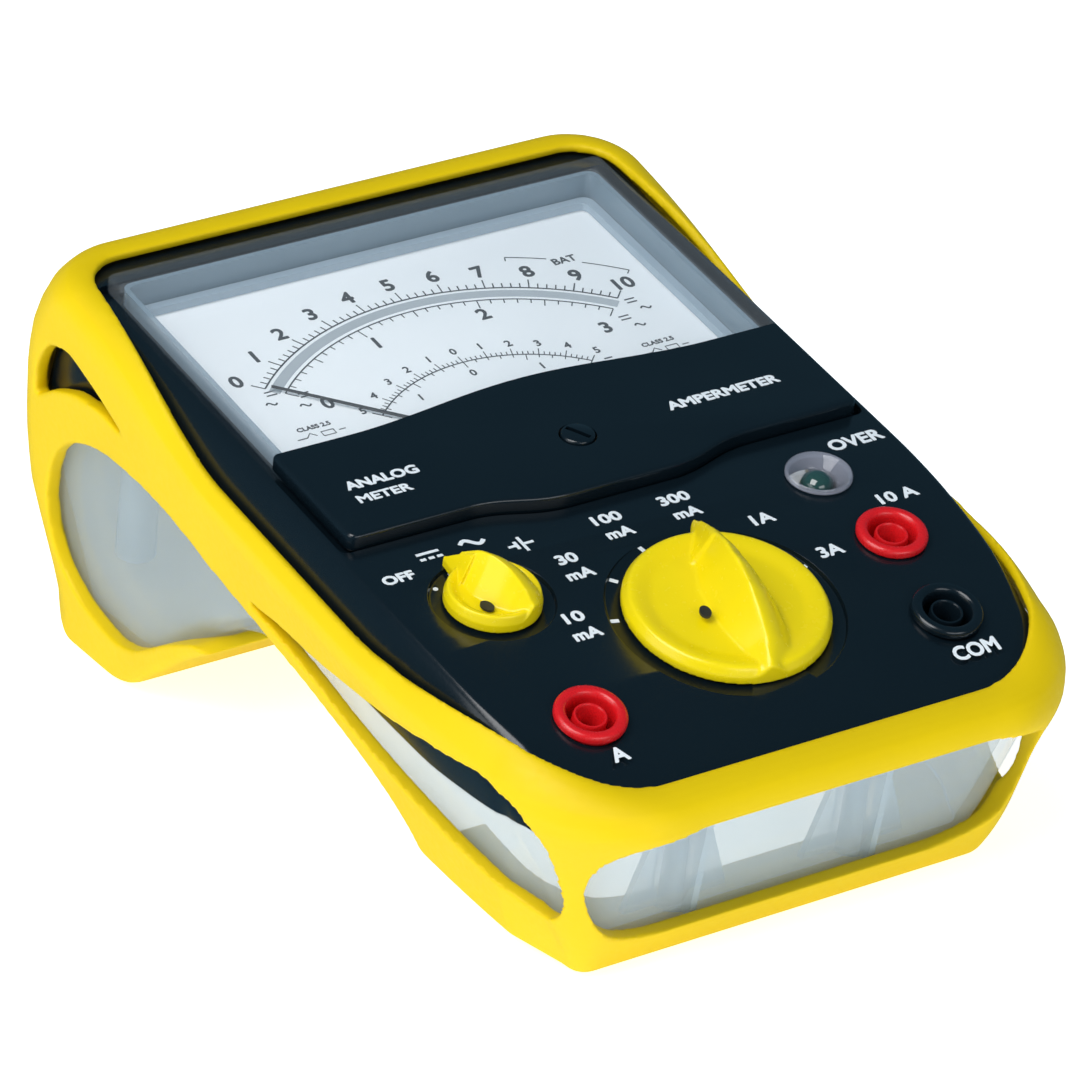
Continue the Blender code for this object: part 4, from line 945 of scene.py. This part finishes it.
class Print:
    """Thin solid marks gathered into one mesh; lift gives the W of the printed face at a V."""

    def __init__(self, name, lift):
        self.name = name
        self.lift = lift
        self.points = []
        self.faces = []

    def prism(self, outline, faces, extra=0.0):
        """Closes a flat figure, given by points and top faces, into a thin solid; extra raises its top."""
        start = len(self.points)
        count = len(outline)
        self.points += [(u, v, self.lift(v)) for u, v in outline]
        self.points += [(u, v, self.lift(v) + PRINT_T + extra) for u, v in outline]
        self.faces += [[start + count + i for i in face] for face in faces]
        self.faces += [[start + i for i in reversed(face)] for face in faces]
        edges = {(face[i - 1], face[i]) for face in faces for i in range(len(face))}
        for a, b in edges:
            if (b, a) not in edges:
                self.faces.append([start + a, start + b, start + count + b, start + count + a])

    def ribbon(self, path, width):
        """A line of even width along a path of (u, v) points."""
        sides = []
        for i, here in enumerate(path):
            before = Vector(path[max(0, i - 1)])
            after = Vector(path[min(len(path) - 1, i + 1)])
            along = (after - before).normalized()
            off = Vector((-along.y, along.x)) * width / 2
            sides.append((Vector(here) - off, Vector(here) + off))
        outline = [tuple(p) for pair in sides for p in pair]
        self.prism(outline, [[2 * i, 2 * i + 2, 2 * i + 3, 2 * i + 1] for i in range(len(path) - 1)])

    def dot(self, at, radius):
        outline = disc_outline(radius, 20, at)
        self.prism(outline, [list(range(20))])

    def words(self, text, at, height, width=None, bold=FINE):
        """Text centred on a place, its capitals of the given height; bold thickens the strokes by that much.

        The thickening copies stand at slightly different heights, so that no two faces lie in one plane.
        """
        curve = bpy.data.curves.new("words", "FONT")
        curve.body = text
        curve.resolution_u = 3
        holder = bpy.data.objects.new("words", curve)
        bpy.context.collection.objects.link(holder)
        graph = bpy.context.evaluated_depsgraph_get()
        mesh = bpy.data.meshes.new_from_object(holder.evaluated_get(graph))
        flat = np.array([v.co[:2] for v in mesh.vertices])
        low, high = flat.min(0), flat.max(0)
        scale = (height - bold) / (high[1] - low[1])
        across = (width - bold) / (high[0] - low[0]) if width else scale
        flat = (flat - (low + high) / 2) * (across, scale)
        faces = [list(p.vertices) if p.normal.z > 0 else list(p.vertices)[::-1] for p in mesh.polygons]
        for k, (x, y) in enumerate(disc_outline(bold / 2, BOLD_COPIES)):
            moved = [(at[0] + u + x, at[1] + v + y) for u, v in flat]
            self.prism(moved, faces, COPY_STEP * k)
        bpy.data.objects.remove(holder)
        bpy.data.curves.remove(curve)
        bpy.data.meshes.remove(mesh)

    def settle(self, look, slot, place=Matrix.Identity(4)):
        settle(solid(self.name, self.points, self.faces, place), slot, "instrument", (), 30, look)

    def settle_in_recess(self, at):
        """Lays marks drawn about a knob's axis on the floor of its recess."""
        floor = Matrix.Translation((0, 0, 0.02 - RECESS_DEPTH))
        self.settle(PRINT_WHITE, "dial_white", panel_place(at) @ floor)


def around(centre, radius, angle):
    """A place at a radius and an angle, in degrees to the left of +V."""
    a = math.radians(angle)
    return (centre[0] - radius * math.sin(a), centre[1] + radius * math.cos(a))


def arc(centre, radius, first, last, steps=80):
    return [around(centre, radius, first + (last - first) * i / steps) for i in range(steps + 1)]


# Scales on the dial: half of the needle's sweep in degrees and the radii about its pivot
DIAL_SWEEP = 44.0
SCALE_R = 48.0
INNER_SCALE_R = 44.6
SMALL_SCALE_R = 28.4
BATTERY_MARK_R = 57.0
# Division marks: radius, count, how many to a large one and to a middling one (0 for none), length of the
# small and the large ones (inwards if negative), line weight
SCALE_TICKS = (
    (SCALE_R, 50, 5, 0, 1.3, 2.4, 0.22),
    (INNER_SCALE_R, 30, 10, 5, -1.1, -2.3, 0.2),
    (SMALL_SCALE_R, 50, 5, 0, 0.9, 1.7, 0.17),
    (SMALL_SCALE_R, 20, 5, 0, -0.8, -1.6, 0.17),
)
# Centres (U, V) and widths of the signs for direct and alternating current at the ends of the scales
CURRENT_SIGNS = (
    ((-33.2, 49.0), 1.9), ((-28.3, 46.6), 1.9), ((35.0, 49.1), 1.9), ((31.4, 45.1), 1.9), ((22.6, 35.6), 1.5),
)
CLASS_NOTES = ((-31.5, 36.6), (32.6, 35.4))


def ticks(ink, radius, count, every, half, small, large, weight):
    """Division marks of a scale: large at every so many, and middling at each multiple of half, if given."""
    for i in range(count + 1):
        reach = small
        if i % every == 0:
            reach = large
        elif half and i % half == 0:
            reach = 0.5 * (small + large)
        angle = DIAL_SWEEP - 2 * DIAL_SWEEP * i / count
        ink.ribbon([around(PIVOT, radius, angle), around(PIVOT, radius + reach, angle)], weight)


def current_sign(ink, at, size):
    """Two bars for direct current and, where there is room, a wave for alternating current."""
    for k in (-0.475, 0.475):
        ink.ribbon([(at[0] - size / 2, at[1] + k), (at[0] + size / 2, at[1] + k)], 0.3)
    if size > 1.6:
        middle = at[0] + math.copysign(1.3, at[0])
        wave = []
        for i in range(13):
            t = i / 12
            wave.append((middle + size * (t - 0.5), at[1] - 2.7 + 0.42 * math.sin(2 * math.pi * t)))
        ink.ribbon(wave, 0.32)


def class_note(ink, at):
    """The accuracy class, with small generic signs under it."""
    u, v = at
    ink.words("CLASS 2.5", (u, v + 1.5), 1.1, bold=FINE)
    ink.ribbon([(u - 4.2, v - 0.9), (u - 2.4, v - 0.9)], 0.22)
    ink.ribbon([(u - 2.4, v - 0.9), (u - 1.5, v + 0.1), (u - 0.6, v - 0.9)], 0.2)
    ink.ribbon([(u + 0.4, v - 1.4), (u + 2.6, v - 1.4), (u + 2.6, v - 0.2)], 0.2)
    ink.ribbon([(u + 2.6, v - 0.2), (u + 0.4, v - 0.2), (u + 0.4, v - 1.4)], 0.2)
    ink.ribbon([(u + 3.4, v - 0.8), (u + 4.6, v - 0.8)], 0.2)


def print_dial():
    ink = Print("dial_print", lambda v: DIAL_W + 0.02)
    for radius, weight in ((SCALE_R, 0.28), (INNER_SCALE_R, 0.24), (SMALL_SCALE_R, 0.22)):
        ink.ribbon(arc(PIVOT, radius, DIAL_SWEEP, -DIAL_SWEEP), weight)
    for row in SCALE_TICKS:
        ticks(ink, *row)
    for i in range(11):
        angle = DIAL_SWEEP - 2 * DIAL_SWEEP * i / 10
        ink.words(str(i), around(PIVOT, SCALE_R + 4.9, angle), 3.3, bold=0.26)
        ink.words(str(abs(i - 5)), around(PIVOT, SMALL_SCALE_R + 3.3, angle), 1.7, bold=FINE)
    for i, reach in enumerate((37.6, 40.2, 40.6, 38.8)):
        ink.words(str(i), around(PIVOT, reach, DIAL_SWEEP - 2 * DIAL_SWEEP * i / 3), 3.1, bold=0.24)
    for text, angle in (("1", 27.0), ("0", 0.0), ("1", -27.0)):
        ink.words(text, around(PIVOT, SMALL_SCALE_R - 3.2, angle), 1.7, bold=FINE)
    low, high = -23.0, -DIAL_SWEEP
    ink.ribbon(arc(PIVOT, BATTERY_MARK_R, low, -30.0, 8), 0.2)
    ink.ribbon(arc(PIVOT, BATTERY_MARK_R, -36.0, high, 8), 0.2)
    for angle in (low, high):
        ink.ribbon([around(PIVOT, BATTERY_MARK_R - 1.1, angle), around(PIVOT, BATTERY_MARK_R, angle)], 0.2)
    ink.words("BAT", around(PIVOT, BATTERY_MARK_R + 0.2, -33.0), 1.8, bold=FINE)
    for at, size in CURRENT_SIGNS:
        current_sign(ink, at, size)
    for at in CLASS_NOTES:
        class_note(ink, at)
    ink.settle(PRINT_DARK, "black_matt")
    # The mirror band, whose flat grey is painted reflection.
    band = Print("dial_band", lambda v: DIAL_W + 0.02)
    band.ribbon(arc(PIVOT, (SCALE_R + INNER_SCALE_R) / 2, DIAL_SWEEP + 0.6, -DIAL_SWEEP - 0.6), 1.9)
    band.settle(BAND_GREY, "plated_steel")


def print_functions(ink):
    """OFF, and the signs for direct current, alternating current and battery round the function knob."""
    ink.words("OFF", (-43.6, -8.8), 2.3, 5.6, BOLD)
    u, v = -36.2, -5.6
    ink.ribbon([(u - 2.0, v + 0.75), (u + 2.0, v + 0.75)], 0.6)
    for k in (-1.5, 0.0, 1.5):
        ink.ribbon([(u + k - 0.5, v - 0.65), (u + k + 0.5, v - 0.65)], 0.6)
    u, v = -28.4, -5.2
    turns = [i / 16 for i in range(17)]
    ink.ribbon([(u + 4.2 * (t - 0.5), v + 0.75 * math.sin(2 * math.pi * t)) for t in turns], 0.75)
    u, v = -21.7, -8.8
    ink.ribbon([(u - 2.2, v), (u - 0.7, v)], 0.55)
    ink.ribbon([(u - 0.7, v - 1.0), (u - 0.7, v + 1.0)], 0.6)
    ink.ribbon([(u + 0.4, v - 1.9), (u + 0.4, v + 1.9)], 0.55)
    ink.ribbon([(u + 0.4, v), (u + 2.3, v)], 0.55)


def print_panel():
    ink = Print("panel_print", lambda v: panel_w(v) + 0.015)
    print_functions(ink)
    for text, u, v, width in MILLIAMP_RANGES:
        ink.words(text, (u, v + 2.0), 2.5, width, BOLD)
        ink.words("mA", (u, v - 2.0), 2.4, 4.9, BOLD)
    for row in PANEL_WORDS:
        ink.words(*row)
    ink.settle(PRINT_WHITE, "dial_white")
    bars = Print("range_marks", lambda v: 0.0)
    for i in range(6):
        bars.ribbon([around((0, 0), radius, 75 - 30 * i) for radius in RANGE_MARK_R], 0.75)
    bars.settle_in_recess(RANGE_AT)
    dots = Print("function_marks", lambda v: 0.0)
    for i in range(4):
        dots.dot(around((0, 0), FUNCTION_MARK_R, 45 - 30 * i), 0.42)
    dots.settle_in_recess(FUNCTION_AT)
    on_mask = Print("mask_print", lambda v: COVER_TOP + 0.015)
    for row in MASK_WORDS:
        on_mask.words(*row)
    on_mask.settle(PRINT_WHITE, "dial_white")


# ---------------------------------------------------------------- room, lights and camera

FLOOR_Z = -0.0006
CAMERA_AT = (-0.49732, -0.80541, 0.50580)
CAMERA_TURN = (math.radians(63.632), math.radians(0.155), math.radians(-31.631))
CAMERA_LENS = 220.2
# Name, place, point faced, width, height, power and colour
LAMPS = (
    ("overhead", (-0.75, -0.25, 1.25), (0, 0, 0), 0.95, 0.95, 17.0, (1.0, 1.0, 1.0)),
    ("left_fill", (-1.3, -0.1, 0.5), (0, 0, 0.03), 1.0, 0.7, 4.0, (0.95, 0.98, 1.0)),
    ("front_fill", (0.1, -1.4, 0.55), (0, 0, 0.03), 1.0, 0.6, 5.0, (0.97, 0.99, 1.0)),
)


def lamp(name, at, aim, wide, tall, power, colour):
    """A soft rectangular lamp that faces a point."""
    light = bpy.data.lights.new(name, "AREA")
    light.shape = "RECTANGLE"
    light.size = wide
    light.size_y = tall
    light.energy = power
    light.color = colour
    made = bpy.data.objects.new(name, light)
    made.location = at
    made.rotation_euler = (Vector(aim) - Vector(at)).to_track_quat("-Z", "Y").to_euler()
    bpy.context.collection.objects.link(made)


def build_room():
    """A plain white floor just under the instrument, a dim sky and three soft lamps."""
    mesh = bpy.data.meshes.new("floor")
    mesh.from_pydata([(*corner, FLOOR_Z) for corner in rectangle((-3, 3), (-3, 3))], [], [[0, 1, 2, 3]])
    mesh.materials.append(finish("floor_white", (0.96, 0.96, 0.96), (0.95, 0.95, 0.95), 0.7, glow=0.8))
    floor = bpy.data.objects.new("floor", mesh)
    bpy.context.collection.objects.link(floor)
    floor.visible_glossy = False
    world = bpy.data.worlds.new("studio")
    bpy.context.scene.world = world
    world.use_nodes = True
    sky = world.node_tree.nodes["Background"]
    sky.inputs["Color"].default_value = (0.22, 0.50, 0.72, 1.0)
    sky.inputs["Strength"].default_value = 0.24
    for row in LAMPS:
        lamp(*row)


def build_camera():
    lens = bpy.data.cameras.new("camera")
    lens.sensor_width = 36.0
    lens.lens = CAMERA_LENS
    lens.clip_start = 0.1
    lens.clip_end = 20.0
    camera = bpy.data.objects.new("camera", lens)
    camera.location = CAMERA_AT
    camera.rotation_euler = CAMERA_TURN
    bpy.context.collection.objects.link(camera)
    bpy.context.scene.camera = camera


def dress_frame():
    """Gives each CAD node that stays in view the finish of its slot."""
    slots = {row["node"]: row["material_slot"] for row in frame["record"]["subparts"]}
    for name, node in frame["nodes"].items():
        node.data.materials.clear()
        node.data.materials.append(LOOKS[slots[name]])


dress_frame()
print_dial()
print_panel()
build_sheath()
build_upper_case()
build_lower_case()
build_posts()
build_window()
build_mask()
build_window_walls()
build_dial()
build_zero_screw()
build_needle()
build_knob(
    "range_grip", RANGE_AT, RANGE_R, RANGE_REST, RANGE_WIDTH, RANGE_CREST, RANGE_HOLE, "range_selector",
    "range_knob",
)
build_knob(
    "function_grip", FUNCTION_AT, FUNCTION_R, FUNCTION_REST, FUNCTION_WIDTH, FUNCTION_CREST, FUNCTION_HOLE,
    "function_selector", "function_knob",
)
build_sockets()
build_lamp()
build_room()
build_camera()
bpy.context.scene.view_settings.view_transform = "Standard"
